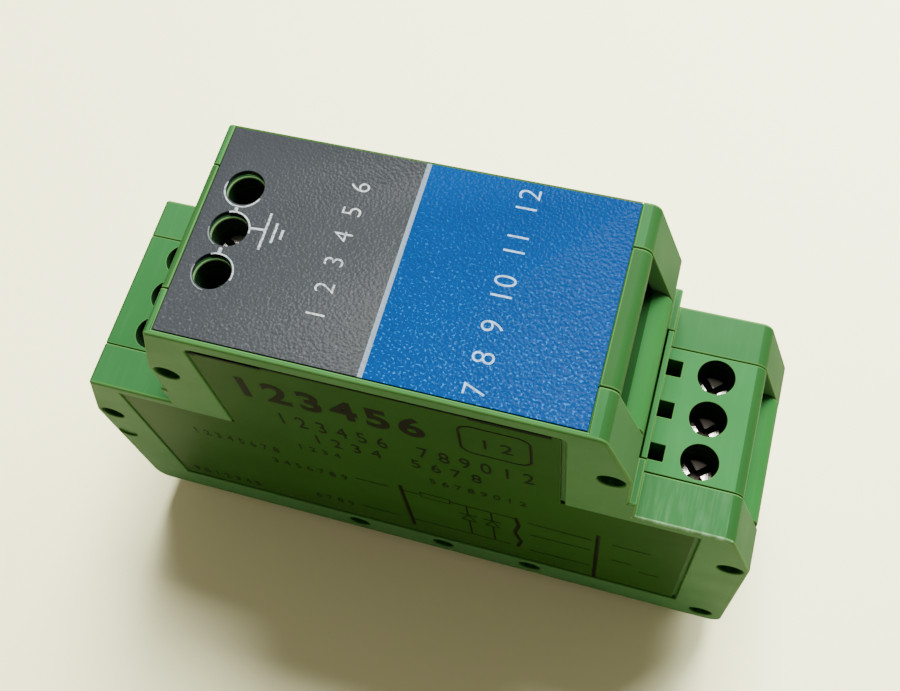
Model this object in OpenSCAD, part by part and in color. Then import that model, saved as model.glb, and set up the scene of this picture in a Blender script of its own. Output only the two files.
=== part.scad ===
// Rail-mounted zener barrier: a stepped green housing 25 mm wide, with two side cheeks,
// three rows of three screw terminals, a labelled top cover and a sprung rail foot.
// X runs along the housing, Y across it and Z up. The origin is under its middle, on the
// surface that the rail foot stands on. A drop is a depth below the top face.

/* [Housing] */
// Height of the housing above its rail foot
body_h = 57.5; // [56:0.5:64]
// Width of one side cheek
cheek_t = 5.2; // [4.8:0.1:6]
// Thickness of a cheek's outer wall
cheek_wall = 2; // [1.6:0.1:2.2]
// Thickness of the wall round a cheek's edge
rim_wall = 1.8; // [1.4:0.1:2]
// Gap between a cheek and the pieces between the cheeks
seam = 0.1; // [0.05:0.05:0.2]
// Gap between pieces that are stacked or stand side by side
fit = 0.05; // [0.02:0.01:0.1]

/* [Side outline] */
// Half length of the upper block below its slope
upper_half = 25.9; // [25.6:0.1:26.4]
// Width of the slope at each end of the top face
slope_w = 2.7; // [2.2:0.1:3]
// Width of the ledge at the foot of the upper block
ledge_w = 0.8; // [0.5:0.1:1.2]
// Length of each step, from the ledge to the step's edge
step_l = 10.6; // [10.4:0.1:11.4]
// Width of the slope below each step's edge
step_slope_w = 2.7; // [2.2:0.1:3]
// Drop at which the upper slope ends
slope_drop = 10; // [9:0.5:11]
// Drop of the ledge at the foot of the upper block
ledge_drop = 16.6; // [16.5:0.1:18]
// Drop of the step
step_drop = 20.8; // [20.2:0.1:21.2]
// Drop at which the housing is widest
base_drop = 30.7; // [29.5:0.1:32]
// Radius of the right top corner
top_r = 1.2; // [0.6:0.1:1.8]
// Radius of the right step corner
step_r = 1.4; // [0.6:0.1:2]
// Radius of the left top and step corners
left_r = 0.4; // [0.3:0.1:1.2]
// Radius of the bottom corners
base_r = 1.8; // [0.8:0.1:2.4]

/* [Side panel] */
// Distance of the side panel's upper part from the upper end faces
panel_in_upper = 6.55; // [4.5:0.05:8]
// Distance of the panel's lower part from the lower end faces
panel_in_lower = 6.2; // [5:0.1:8]
// Drop of the panel's top edge
panel_top_drop = 1.9; // [1.5:0.1:3]
// Distance of the panel's shoulder below the step
panel_below_step = 1.6; // [1:0.1:2.6]
// Height of the panel's bottom edge above the underside
panel_rise = 5.9; // [5.4:0.1:8]
// Depth of the panel
panel_depth = 0.5; // [0.4:0.05:0.8]
// Thickness of the printed plate in the near panel
side_label_t = 0.35; // [0.2:0.05:0.4]
// Gap round that plate
side_label_gap = 0.3; // [0.2:0.05:0.5]
// Offset of that plate along the housing
side_label_dx = -0.2; // [-0.2:0.05:0.2]
// Radius of the panel's top corners
panel_r = 1; // [0.4:0.1:2]
// Distance of the moulding gate's dimple from the end face
gate_in = 1.5; // [1.4:0.1:3]
// Drop of the dimple
gate_drop = 38.8; // [36:0.1:46]
// Diameter of the dimple
gate_d = 2.5; // [1.5:0.1:2.5]
// Depth of the dimple
gate_depth = 0.3; // [0.1:0.1:0.6]

/* [Locating studs] */
// Diameter of the stud sockets in the cheeks
socket_d = 2.9; // [2.6:0.1:3]
// Wall round a socket, inside the cheek
socket_wall = 0.45; // [0.35:0.05:0.5]
// Distance of the side sockets from the end faces
stud_in = 2.05; // [2:0.05:2.4]
// Distance of the side sockets below the end of the slope over them
stud_below = 0.7; // [0.5:0.1:1.5]
// Places of three bottom sockets along the housing
base_stud_x = [-8.9, 3, 14.8]; // [-30:0.1:30]
// Distance of the fourth bottom socket from the end face
base_stud_in = 2.8; // [2.5:0.1:6]
// Height of the bottom sockets above the underside
base_stud_rise = 3.2; // [2.9:0.1:4]
// How far a stud reaches into its cheek
stud_reach = 2.4; // [1.8:0.1:2.8]
// Clearance round a stud
stud_clear = 0.05; // [0.03:0.01:0.1]

/* [Cover and label] */
// Thickness of the label
label_t = 0.45; // [0.3:0.05:0.5]
// Depth of the label's pocket
pocket_depth = 0.5; // [0.5:0.05:0.8]
// Distance of the label's left edge from the end of the top face
label_left_in = 0.9; // [0.8:0.1:2]
// Distance of the label's right edge from the end of the top face
label_right_in = 2.1; // [1.4:0.1:3]
// Distance of the label's near edge from the near face
label_near_in = 0.7; // [0.6:0.05:1.6]
// Distance of the label's far edge from the far face, where its pocket is open
label_far_in = 0.1; // [0.05:0.05:0.4]
// Gap round the label
label_gap = 0.1; // [0.05:0.05:0.2]
// Diameter of the holes in the label
label_hole_d = 4.1; // [4.1:0.1:4.4]
// Offset of the label's holes along the housing
label_hole_dx = -0.2; // [-0.3:0.05:0]
// Offset of the label's holes across the housing
label_hole_dy = 0.45; // [0:0.05:0.5]
// How far a cover's lip hangs below its plate
lip_hang = 0.5; // [0.2:0.1:0.8]
// Thickness of a cover's lip
lip_t = 1.5; // [1.2:0.1:1.7]
// Thickness of the upstand behind a step cover
upstand_t = 0.6; // [0.4:0.1:0.65]

/* [Terminals] */
// Number of poles in each terminal block
poles = 3; // [3:1:4]
// Distance between poles
pitch = 5; // [5:0.02:5.2]
// Distance of the upper terminal screws from the upper end face
upper_screw_in = 7.4; // [7.2:0.1:7.6]
// Distance of the lower terminal screws from the ledge over them
step_screw_in = 5.4; // [5.3:0.1:5.6]
// Drop of the upper screw heads
upper_head_drop = 5.2; // [5:0.1:5.4]
// Depth of the lower screw heads below the step
lower_head_in = 4.4; // [4.2:0.1:4.8]
// Diameter of the screw wells
well_d = 4; // [3.8:0.1:4.2]
// Height of a block above its screw heads
block_rise = 2.6; // [2.4:0.1:2.8]
// Depth of a block below its screw heads
block_depth = 11.2; // [11:0.1:11.6]
// Drop of a block's front below its screw heads
front_drop = 3; // [2.8:0.1:3.4]
// Length of a block on the inner side of its screws
block_inner = 7.1; // [6.9:0.1:7.5]
// Radius of a block's front edge
front_r = 1.9; // [1:0.1:2]
// Back of the upper notch, measured from the screws
upper_notch = 2.5; // [2.3:0.1:2.8]
// Back of the lower notch, measured from the screws
lower_notch = 3.5; // [3.2:0.1:3.8]
// How far the lower blocks stand back from the end faces
front_back = 0.1; // [0.05:0.05:0.3]
// Width of a wire entry
entry_w = 3.4; // [2.8:0.1:3.5]
// Height of a wire entry
entry_h = 3.4; // [3:0.1:3.6]
// Drop of a wire entry's top below the screw heads
entry_drop = 4.8; // [4.6:0.1:5]
// Width of a square test hole
test_w = 1.9; // [1.5:0.1:2]
// Distance of the test holes from the screws
test_in = 4.7; // [4.6:0.1:4.9]
// Wall of the blank block
blank_wall = 1.2; // [0.8:0.1:1.8]
// Thickness of the blank block's front
blank_front = 2.6; // [2:0.1:3]

/* [Clamps and screws] */
// Length of a clamp cage
cage_l = 4; // [3.6:0.1:4.2]
// Width of a clamp cage
cage_w = 3.6; // [3.4:0.1:3.7]
// Height of a clamp cage
cage_h = 6.2; // [6:0.1:6.6]
// Thickness of a cage's threaded top
cage_top = 1.4; // [1.2:0.1:1.5]
// Thickness of a cage's sides and bottom
cage_side = 0.6; // [0.4:0.05:0.65]
// Play of a cage in its chamber
cage_play = 0.1; // [0.05:0.05:0.15]
// Gap between a screw's head and its cage
head_gap = 0.3; // [0.2:0.1:0.5]
// Diameter of a screw's head
head_d = 3.6; // [3.2:0.1:3.7]
// Height of a screw's head
head_h = 1.8; // [1.5:0.1:1.9]
// How far the second upper screw is backed out
screw_out = 1.5; // [0:0.1:1.6]
// Diameter of a screw's shank
shank_d = 2.6; // [2.2:0.1:2.8]
// Clearance round a screw's shank
shank_clear = 0.05; // [0.03:0.01:0.1]
// Length of a screw's shank
shank_l = 2.6; // [2.3:0.1:2.6]
// Width of the cross slots in a screw's head
slot_w = 0.7; // [0.5:0.1:0.9]
// Depth of the cross slots
slot_deep = 0.9; // [0.6:0.1:1.2]
// Turn of the upper screws' slots
upper_turn = 30; // [0:5:85]
// Turn of the left screws' slots
left_turn = 20; // [0:5:85]
// Turn of the right screws' slots
right_turn = 40; // [0:5:85]
// Thickness of a contact strip
strip_t = 0.8; // [0.6:0.1:0.9]
// Width of a contact strip
strip_w = 2; // [1.6:0.1:2.2]
// Width of a solder pin
pin_w = 1; // [0.8:0.1:1.1]
// How far solder pins stand out below a board
pin_out = 1.5; // [1:0.1:1.8]

/* [Circuit boards] */
// Thickness of a circuit board
board_t = 1.6; // [1.5:0.1:1.8]
// How far a board reaches into each cheek
board_reach = 2.6; // [2:0.1:2.8]
// Gap between a board's end and the housing
board_gap = 0.3; // [0.2:0.1:0.6]
// Diameter of the holes for solder pins
hole_d = 1.5; // [1.45:0.05:1.6]
// Height of the ribs under a board
rib_h = 1.2; // [0.8:0.1:1.6]
// Length of the ribs under a board
rib_l = 3; // [2:0.5:4]
// Distance between the ribs under the upper board
upper_rib_gap = 16; // [12:0.5:18]
// Distance between the ribs under the lower board
lower_rib_gap = 26; // [20:0.5:28]
// Distance of the board link pins from the upper end face
link_in = 4.5; // [4.1:0.1:5]
// Width of a link pin
link_w = 0.8; // [0.6:0.1:0.9]
// Thickness of the earth link bar
link_bar_t = 0.8; // [0.6:0.1:1]
// Height of the earth link bar
link_bar_h = 3; // [2:0.5:5]
// Gap between the earth link bar and the upper block
link_bar_gap = 0.4; // [0.3:0.1:0.6]

/* [Electronic parts] */
// Diameter of a zener diode
diode_d = 5.2; // [4.6:0.1:5.4]
// Length of a zener diode
diode_l = 9; // [8:0.5:10]
// Distance of the zener diodes from the board's middle line
diode_y = 4.8; // [4.7:0.1:5]
// Distance of the lower board's leads from the link pins
lead_gap = 2.6; // [2.2:0.1:3]
// Diameter of a resistor
resistor_d = 3.2; // [2.4:0.1:3.6]
// Length of a resistor
resistor_l = 9; // [7:0.5:10]
// Distance between the leads of the lower board's parts
lead_span = 13.6; // [13:0.1:14]
// Diameter of a fuse
fuse_d = 4.4; // [3.6:0.1:5]
// Length of a fuse
fuse_l = 10; // [8:0.5:11]
// Distance of the fuses from the board's middle line
fuse_y = 3.7; // [3.5:0.1:4.5]
// Distance between the leads of a fuse
fuse_span = 14; // [13.5:0.5:15]
// Diameter of a part's lead
lead_d = 0.9; // [0.7:0.1:1.1]
// Height of a part above its board
part_rise = 0.3; // [0.2:0.1:0.6]

/* [Rail foot] */
// Height of the rail foot
foot_h = 5; // [4.8:0.1:6]
// Thickness of the tray's floor
floor_t = 2; // [1.6:0.1:2.2]
// Thickness of the tray's end walls
tray_wall = 2; // [1.6:0.1:2.1]
// Width of the rail that the foot grips
rail_w = 35; // [35:0.5:36]
// Thickness of the rail's flange
rail_t = 1; // [1:0.1:1.3]
// Play of the rail in the foot
rail_play = 0.2; // [0.1:0.05:0.3]
// How far the hooks reach under the rail
grip = 1.2; // [1:0.1:1.6]
// Length of the fixed hook and of the rail stop
hook_t = 3; // [2.5:0.1:3.5]
// Lead-in of the hooks
lead_in = 1; // [0.6:0.1:1.2]
// Half width of the rail latch
latch_half = 5; // [4.6:0.1:5.2]
// Distance of the latch's outer end from the end face
latch_back = 1; // [0.5:0.1:1.5]
// Gap under the latch
latch_rise = 0.3; // [0.2:0.1:0.5]
// Play of the latch in its guides
latch_play = 0.1; // [0.08:0.02:0.2]
// Gap between the rail stop and the latch's guides
guide_gap = 1.4; // [1:0.1:1.8]
// Distance of the guides' outer ends from the end face
guide_back = 2; // [1.8:0.1:3]
// Width of the tongues that the guides hold
tongue_w = 1; // [0.7:0.1:1.2]
// Thickness of those tongues
tongue_t = 1; // [0.8:0.1:1.2]
// Distance of the tongues' outer ends from the guides' ends
tongue_back = 2; // [1:0.1:3]
// Length of the latch's window for its spring
window_l = 9.8; // [9.5:0.1:11]
// Half width of that window
window_half = 2.1; // [2:0.1:2.6]
// Thickness of the post that the spring bears on
post_t = 1.5; // [1.2:0.1:2]
// Play of the post in the window
post_play = 0.3; // [0.1:0.1:0.5]
// Gap under the post
post_rise = 0.6; // [0.4:0.1:1]
// Outer diameter of the latch spring
spring_d = 2.9; // [2.4:0.1:3]
// Diameter of the spring's wire
wire_d = 0.45; // [0.35:0.05:0.5]
// Number of turns of the spring
spring_turns = 6; // [4:1:7]
// Distance of the driver slot from the latch's end
driver_in = 1.4; // [1.2:0.1:2]
// Length of the driver slot
driver_l = 1.4; // [1:0.1:1.6]

/* [Hidden] */
eps = 0.01;
over = 1;
round_fn = 48;
least_r = 0.3;
arc_steps = 8;
total_h = foot_h + body_h;
mid_w = poles * pitch;
body_w = mid_w + 2 * cheek_t;
inner_half = mid_w / 2 - seam;
top_half = upper_half - slope_w;
ledge_half = upper_half + ledge_w;
step_half = ledge_half + step_l;
base_half = step_half + step_slope_w;
top_tilt = atan2(slope_w, slope_drop);
step_tilt = atan2(step_slope_w, base_drop - step_drop);
// Side panels and studs
panel_half_upper = upper_half - panel_in_upper;
panel_half_lower = base_half - panel_in_lower;
panel_step_drop = step_drop + panel_below_step;
upper_stud_x = upper_half - stud_in;
upper_stud_z = up(slope_drop + stud_below);
end_stud_x = base_half - stud_in;
end_stud_z = up(base_drop + stud_below);
base_studs = concat(base_stud_x, [base_half - base_stud_in]);
base_stud_z = foot_h + base_stud_rise;
// Label and covers
label_left = top_half - label_left_in;
label_right = top_half - label_right_in;
label_near = -body_w / 2 + label_near_in;
label_far = body_w / 2 - label_far_in;
lower_head_drop = step_drop + lower_head_in;
cover_under = upper_head_drop - block_rise - fit;
step_under = lower_head_drop - block_rise - fit;
// Terminals
upper_screw_x = upper_half - upper_screw_in;
lower_screw_x = ledge_half + step_screw_in;
lower_front = base_half - front_back - lower_screw_x;
cage_from = head_h + head_gap;
strip_from = head_h + shank_l + cage_play;
// Circuit boards
upper_board_drop = upper_head_drop + block_depth;
lower_board_drop = lower_head_drop + block_depth;
upper_board_z = up(upper_board_drop);
link_x = upper_half - link_in;
parts_x = link_x - lead_gap - lead_span / 2;
lower_board_z = up(lower_board_drop);
board_half_w = mid_w / 2 + board_reach;
upper_board_half = upper_half - rim_wall - board_gap;
lower_board_half = base_half - tray_wall - board_gap;
// Rail foot
rail_half = rail_w / 2 + rail_play / 2;
lip_top = foot_h - rail_t - rail_play;
latch_top = lip_top - latch_play;
latch_end = base_half - latch_back;
guide_start = rail_half + hook_t + guide_gap;
guide_end = base_half - guide_back;
window_start = guide_start;
window_end = window_start + window_l;
post_end = window_end - latch_play;
spring_z = (latch_rise + latch_top) / 2;
tongue_z = spring_z - tongue_t / 2;
// Colours and repeated names
green = [0.20, 0.52, 0.22];
dark_green = [0.17, 0.46, 0.20];
steel = [0.75, 0.75, 0.72];
tinned = [0.82, 0.80, 0.74];
part_sides = [-1, 1];
pole_names = [for (n = [1:poles]) str(n)];

// Height of a point that lies a given drop below the top face
function up(drop) = total_h - drop;
// Place of a pole across the housing
function pole_y(n) = (n - (poles - 1) / 2) * pitch;
// Points of an arc round a centre, from one angle to another
function arc(cx, cz, r, from, to) =
    [for (i = [0:arc_steps]) let (a = from + (to - from) * i / arc_steps)
        [cx + r * cos(a), cz + r * sin(a)]];
// Two half outlines as one closed loop, the second one mirrored to the left
function loop(right, left) =
    concat(right, [for (i = [len(left) - 1:-1:0]) [-left[i][0], left[i][1]]]);
// An outline and its mirror image, as one closed loop
function both(right) = loop(right, right);
// Radius of a corner whose outline is moved inwards by d
function corner_r(r, d) = max(r - d, least_r);
// One half of the housing's side outline, moved inwards by d
function half_outline(d, top_corner, step_corner) = let (
        tr = corner_r(top_corner, d), sr = corner_r(step_corner, d), br = corner_r(base_r, d))
    concat(
        arc(top_half - d - tr, up(d) - tr, tr, 90, top_tilt),
        [[upper_half - d, up(slope_drop)],
         [upper_half - d, up(ledge_drop + d)],
         [ledge_half - d, up(ledge_drop + d)],
         [ledge_half - d, up(step_drop + d)]],
        arc(step_half - d - sr, up(step_drop + d) - sr, sr, 90, step_tilt),
        [[base_half - d, up(base_drop)]],
        arc(base_half - d - br, foot_h + d + br, br, 0, -90));
// The whole side outline, whose left corners have a radius of their own
function outline(d) = loop(half_outline(d, top_r, step_r), half_outline(d, left_r, left_r));
// Outline of the recessed side panel, an upside-down T, moved inwards by d
function panel_outline(d) = let (r = corner_r(panel_r, d)) both(concat(
    arc(panel_half_upper - d - r, up(panel_top_drop + d) - r, r, 90, 0),
    [[panel_half_upper - d, up(panel_step_drop + d)],
     [panel_half_lower - d, up(panel_step_drop + d)],
     [panel_half_lower - d, foot_h + panel_rise + d]]));

// A plate in the XZ plane, from one Y to another
module slab(y0, y1, pts) {
    translate([0, y1, 0]) rotate([90, 0, 0]) linear_extrude(y1 - y0) polygon(pts);
}
// A box given by its two corners
module block(a, b) {
    translate(a) cube(b - a);
}
// A cylinder along Y
module across(x, z, d, y0, y1) {
    translate([x, y1, z]) rotate([90, 0, 0]) cylinder(d = d, h = y1 - y0, $fn = round_fn);
}
// A hole or shaft along Z
module upright(x, y, d, z0, z1) {
    translate([x, y, z0]) cylinder(d = d, h = z1 - z0, $fn = round_fn);
}
module each_pole() {
    for (n = [0:poles - 1]) translate([0, pole_y(n), 0]) children();
}
// Centres of all stud sockets in a cheek, as x and z
function sockets() = concat(
    [for (s = part_sides) [s * upper_stud_x, upper_stud_z]],
    [for (s = part_sides) [s * end_stud_x, end_stud_z]],
    [for (x = base_studs) [x, base_stud_z]]);

// A side cheek: an outer wall with a deep rim, sockets for the studs and ribs for the boards
module cheek() {
    outer = -body_w / 2;
    inner = -mid_w / 2;
    wall = outer + cheek_wall;
    difference() {
        union() {
            difference() {
                slab(outer, inner, outline(0));
                slab(wall, inner + over, outline(rim_wall));
            }
            for (p = sockets())
                across(p[0], p[1], socket_d + 2 * socket_wall, wall - eps, inner);
            for (n = [-1:1]) {
                board_rib(n * upper_rib_gap, upper_board_drop, wall, inner);
                board_rib(n * lower_rib_gap, lower_board_drop, wall, inner);
            }
        }
        slab(outer - over, outer + panel_depth, panel_outline(0));
        for (p = sockets()) across(p[0], p[1], socket_d, outer - over, inner + over);
        across(gate_in - base_half, up(gate_drop), gate_d, outer - over, outer + gate_depth);
    }
}
// A rib under a circuit board's edge
module board_rib(x, board_drop, y0, y1) {
    top = up(board_drop + board_t + fit);
    block([x - rib_l / 2, y0 - eps, top - rib_h], [x + rib_l / 2, y1, top]);
}
// The label's pocket in the top face, which runs out through the far face
module label_pocket() {
    block([-label_left - label_gap, label_near - label_gap, up(pocket_depth)],
          [label_right + label_gap, body_w / 2 + over, up(0) + over]);
}
module near_cheek() {
    color(green) difference() {
        cheek();
        label_pocket();
    }
}
module far_cheek() {
    color(green) difference() {
        mirror([0, 1, 0]) cheek();
        label_pocket();
    }
}
// The printed plate in the near cheek's panel
module side_label() {
    floor_y = -body_w / 2 + panel_depth;
    color([0.16, 0.34, 0.12]) translate([side_label_dx, 0, 0])
        slab(floor_y - side_label_t, floor_y, panel_outline(side_label_gap));
}

// The tray: floor, end walls, studs for the cheeks, fixed rail hook and latch guides
module base_tray() {
    wall_top = up(lower_board_drop + fit);
    floor_top = foot_h + floor_t;
    ledge_top = up(lower_board_drop + board_t + fit);
    stud_d = socket_d - 2 * stud_clear;
    stud_end = mid_w / 2 + stud_reach;
    color(dark_green) union() {
        difference() {
            slab(-inner_half, inner_half, both(concat(
                [[base_half, wall_top]],
                arc(base_half - base_r, foot_h + base_r, base_r, 0, -90))));
            block([-base_half + tray_wall, -mid_w, floor_top],
                  [base_half - tray_wall, mid_w, up(0)]);
        }
        for (s = part_sides) mirror([s < 0 ? 1 : 0, 0, 0])
            block([base_half - tray_wall - rim_wall, -inner_half, ledge_top - rib_h],
                  [base_half - tray_wall + eps, inner_half, ledge_top]);
        for (x = base_studs) {
            across(x, base_stud_z, stud_d, -stud_end, stud_end);
            block([x - stud_d / 2, -inner_half, foot_h + eps], [x + stud_d / 2, inner_half, base_stud_z]);
        }
        fixed_hook();
        rail_stop();
        for (s = part_sides) mirror([0, s < 0 ? 1 : 0, 0]) latch_guide();
        spring_post();
    }
}
module fixed_hook() {
    tip = rail_half - grip;
    slab(-inner_half, inner_half, [
        [-rail_half - hook_t, foot_h + eps], [-rail_half, foot_h + eps], [-rail_half, lip_top],
        [-tip, lip_top], [-tip, lead_in], [-tip - lead_in, 0], [-rail_half - hook_t, 0]]);
}
module rail_stop() {
    block([rail_half, -inner_half, lip_top], [rail_half + hook_t, inner_half, foot_h + eps]);
}
module latch_guide() {
    groove = latch_half + tongue_w + 2 * latch_play;
    difference() {
        block([guide_start, latch_half + latch_play, 0], [guide_end, inner_half, foot_h + eps]);
        block([guide_start - over, 0, tongue_z - latch_play],
              [guide_end + over, groove, tongue_z + tongue_t + latch_play]);
    }
}
module spring_post() {
    half = window_half - post_play;
    block([post_end - post_t, -half, post_rise], [post_end, half, foot_h + eps]);
}

// The sliding latch that grips the rail's other edge
module rail_latch() {
    tip = rail_half - grip;
    tongue_half = latch_half + tongue_w;
    slot_end = latch_end - driver_in;
    color([0.16, 0.16, 0.16]) difference() {
        union() {
            slab(-latch_half, latch_half, [
                [tip, latch_top], [latch_end, latch_top], [latch_end, latch_rise],
                [tip + lead_in, latch_rise], [tip, latch_rise + lead_in]]);
            block([guide_start, -tongue_half, tongue_z],
                  [guide_end - tongue_back, tongue_half, tongue_z + tongue_t]);
        }
        block([window_start, -window_half, 0], [window_end, window_half, foot_h]);
        block([slot_end - driver_l, -window_half, 0], [slot_end, window_half, spring_z]);
    }
}
// Round wire wound about the X axis
module latch_spring() {
    length = post_end - post_t - window_start - 2 * latch_play;
    coil_r = (spring_d - wire_d) / 2;
    wire_r = wire_d / 2;
    ring_n = 6;
    per_turn = 18;
    rings = spring_turns * per_turn;
    run = length - wire_d;
    pts = [for (i = [0:rings]) let (a = 360 * i / per_turn, x = wire_r + run * i / rings)
        for (k = [0:ring_n - 1]) let (b = 360 * k / ring_n, r = coil_r + wire_r * cos(b))
            [x + wire_r * sin(b), r * cos(a), r * sin(a)]];
    sides = [for (i = [0:rings - 1], k = [0:ring_n - 1]) let (k2 = (k + 1) % ring_n)
        [i * ring_n + k, (i + 1) * ring_n + k, (i + 1) * ring_n + k2, i * ring_n + k2]];
    ends = [[for (k = [0:ring_n - 1]) k],
            [for (k = [ring_n - 1:-1:0]) rings * ring_n + k]];
    color(steel) translate([window_start + latch_play, 0, spring_z])
        polyhedron(points = pts, faces = concat(sides, ends), convexity = 10);
}

// The top cover, with a lip at each end and a pocket for the label
module top_cover() {
    lip = up(cover_under + lip_hang);
    plate = up(cover_under);
    lip_foot = [[top_half, lip], [top_half - lip_t, lip], [top_half - lip_t, plate]];
    color(green) difference() {
        slab(-inner_half, inner_half, loop(
            concat(arc(top_half - top_r, up(0) - top_r, top_r, 90, 0), lip_foot),
            concat(arc(top_half - left_r, up(0) - left_r, left_r, 90, 0), lip_foot)));
        label_pocket();
        each_pole() upright(-upper_screw_x, 0, well_d, plate - over, up(0));
    }
}
// The printed label in the top pocket
module top_label() {
    color([0.16, 0.40, 0.68]) difference() {
        block([-label_left, label_near, up(pocket_depth)],
              [label_right, label_far, up(pocket_depth) + label_t]);
        each_pole() upright(-upper_screw_x + label_hole_dx, label_hole_dy, label_hole_d,
                            up(pocket_depth) - over, up(0));
    }
}
// The cover of a lower terminal block, with screw wells and square test holes
module step_cover(corner) {
    plate = up(step_under);
    lip = up(step_under + lip_hang);
    back = ledge_half - upstand_t;
    difference() {
        slab(-inner_half, inner_half, concat(
            [[back, plate], [back, up(ledge_drop)], [ledge_half, up(ledge_drop)],
             [ledge_half, up(step_drop)]],
            arc(step_half - corner, up(step_drop) - corner, corner, 90, 0),
            [[step_half, lip], [step_half - lip_t, lip], [step_half - lip_t, plate]]));
        each_pole() {
            upright(lower_screw_x, 0, well_d, plate - over, up(step_drop) + over);
            test_hole(lower_screw_x, plate - over, up(step_drop) + over);
        }
    }
}
module test_hole(screw_x, z0, z1) {
    x = screw_x - test_in;
    block([x - test_w / 2, -test_w / 2, z0], [x + test_w / 2, test_w / 2, z1]);
}
module right_step_cover() {
    color(green) step_cover(step_r);
}
module left_step_cover() {
    color(green) mirror([1, 0, 0]) step_cover(left_r);
}

// Side outline of a terminal block, from its screws and the top of their heads
function block_outline(notch, front) = concat(
    [[-block_inner, -block_depth], [-block_inner, block_rise], [notch, block_rise],
     [notch, -front_drop]],
    arc(front - front_r, -front_drop - front_r, front_r, 90, 0),
    [[front, -block_depth]]);
// A three-pole terminal block: wells, cage chambers, wire entries and contact channels
module terminal_block(notch, front, test_holes) {
    chamber_x = cage_l / 2 + cage_play;
    chamber_y = cage_w / 2 + cage_play;
    chamber_top = -cage_from + cage_play;
    channel_y = strip_w / 2 + cage_play;
    channel_end = -test_in - test_w / 2 - 2 * cage_play;
    difference() {
        slab(-inner_half, inner_half, block_outline(notch, front));
        each_pole() {
            upright(0, 0, well_d, chamber_top - eps, block_rise + over);
            block([-chamber_x, -chamber_y, -block_depth - over],
                  [chamber_x, chamber_y, chamber_top]);
            block([channel_end, -channel_y, -block_depth - over],
                  [0, channel_y, -strip_from + cage_play]);
            block([0, -entry_w / 2, -entry_drop - entry_h],
                  [front + over, entry_w / 2, -entry_drop]);
            if (test_holes) test_hole(0, -strip_from, block_rise + over);
        }
    }
}
// Studs that locate a block in both cheeks
module block_studs(x, z) {
    end = mid_w / 2 + stud_reach;
    for (s = part_sides) mirror([0, s < 0 ? 1 : 0, 0])
        across(x, z, socket_d - 2 * stud_clear, inner_half - eps, end);
}
module at_upper(side) {
    mirror([side < 0 ? 1 : 0, 0, 0]) translate([upper_screw_x, 0, up(upper_head_drop)]) children();
}
module at_lower(side) {
    mirror([side < 0 ? 1 : 0, 0, 0]) translate([lower_screw_x, 0, up(lower_head_drop)]) children();
}
module upper_terminal_block() {
    color(dark_green) union() {
        at_upper(-1) terminal_block(upper_notch, upper_screw_in, false);
        block_studs(-upper_stud_x, upper_stud_z);
    }
}
module left_terminal_block() {
    color(dark_green) union() {
        at_lower(-1) terminal_block(lower_notch, lower_front, true);
        block_studs(-end_stud_x, end_stud_z);
    }
}
module right_terminal_block() {
    color(dark_green) union() {
        at_lower(1) terminal_block(lower_notch, lower_front, true);
        block_studs(end_stud_x, end_stud_z);
    }
}
// The block that closes the place of a fourth terminal row
module blank_block() {
    side = inner_half - blank_wall;
    color(dark_green) union() {
        at_upper(1) difference() {
            slab(-inner_half, inner_half, block_outline(upper_notch, upper_screw_in));
            block([-block_inner + blank_wall, -side, -block_depth - over],
                  [upper_notch - blank_wall, side, block_rise - blank_wall]);
            block([0, -side, -block_depth - over],
                  [upper_screw_in - blank_front, side, -front_drop - blank_wall]);
        }
        block_studs(upper_stud_x, upper_stud_z);
    }
}

// A clamp cage: a steel frame with a threaded top
module clamp_cage() {
    top = -cage_from;
    color(steel) difference() {
        block([-cage_l / 2, -cage_w / 2, top - cage_h], [cage_l / 2, cage_w / 2, top]);
        block([-cage_l, -cage_w / 2 + cage_side, top - cage_h + cage_side],
              [cage_l, cage_w / 2 - cage_side, top - cage_top]);
        upright(0, 0, shank_d + 2 * shank_clear, top - cage_top - over, top + over);
    }
}
// A clamp screw with crossed slots in its head
module clamp_screw() {
    difference() {
        union() {
            upright(0, 0, head_d, -head_h, 0);
            upright(0, 0, shank_d, -head_h - shank_l, -head_h + eps);
        }
        for (a = [0, 90]) rotate([0, 0, a])
            block([-head_d, -slot_w / 2, -slot_deep], [head_d, slot_w / 2, over]);
    }
}
// A contact: a strip through the cage and under the test hole, with its solder pin
module contact() {
    top = -strip_from;
    inner = -test_in - test_w / 2;
    pin_end = -block_depth - board_t - pin_out;
    color(tinned) union() {
        block([inner, -strip_w / 2, top - strip_t], [cage_l / 2, strip_w / 2, top]);
        block([-test_in - pin_w / 2, -pin_w / 2, pin_end],
              [-test_in + pin_w / 2, pin_w / 2, top - strip_t + eps]);
    }
}
module upper_screws() {
    color(steel) at_upper(-1) for (n = [0:poles - 1])
        translate([0, pole_y(n), n == 1 ? screw_out : 0]) rotate([0, 0, upper_turn]) clamp_screw();
}
module left_screws() {
    color(steel) at_lower(-1) each_pole() rotate([0, 0, left_turn]) clamp_screw();
}
module right_screws() {
    color(steel) at_lower(1) each_pole() rotate([0, 0, right_turn]) clamp_screw();
}

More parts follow.
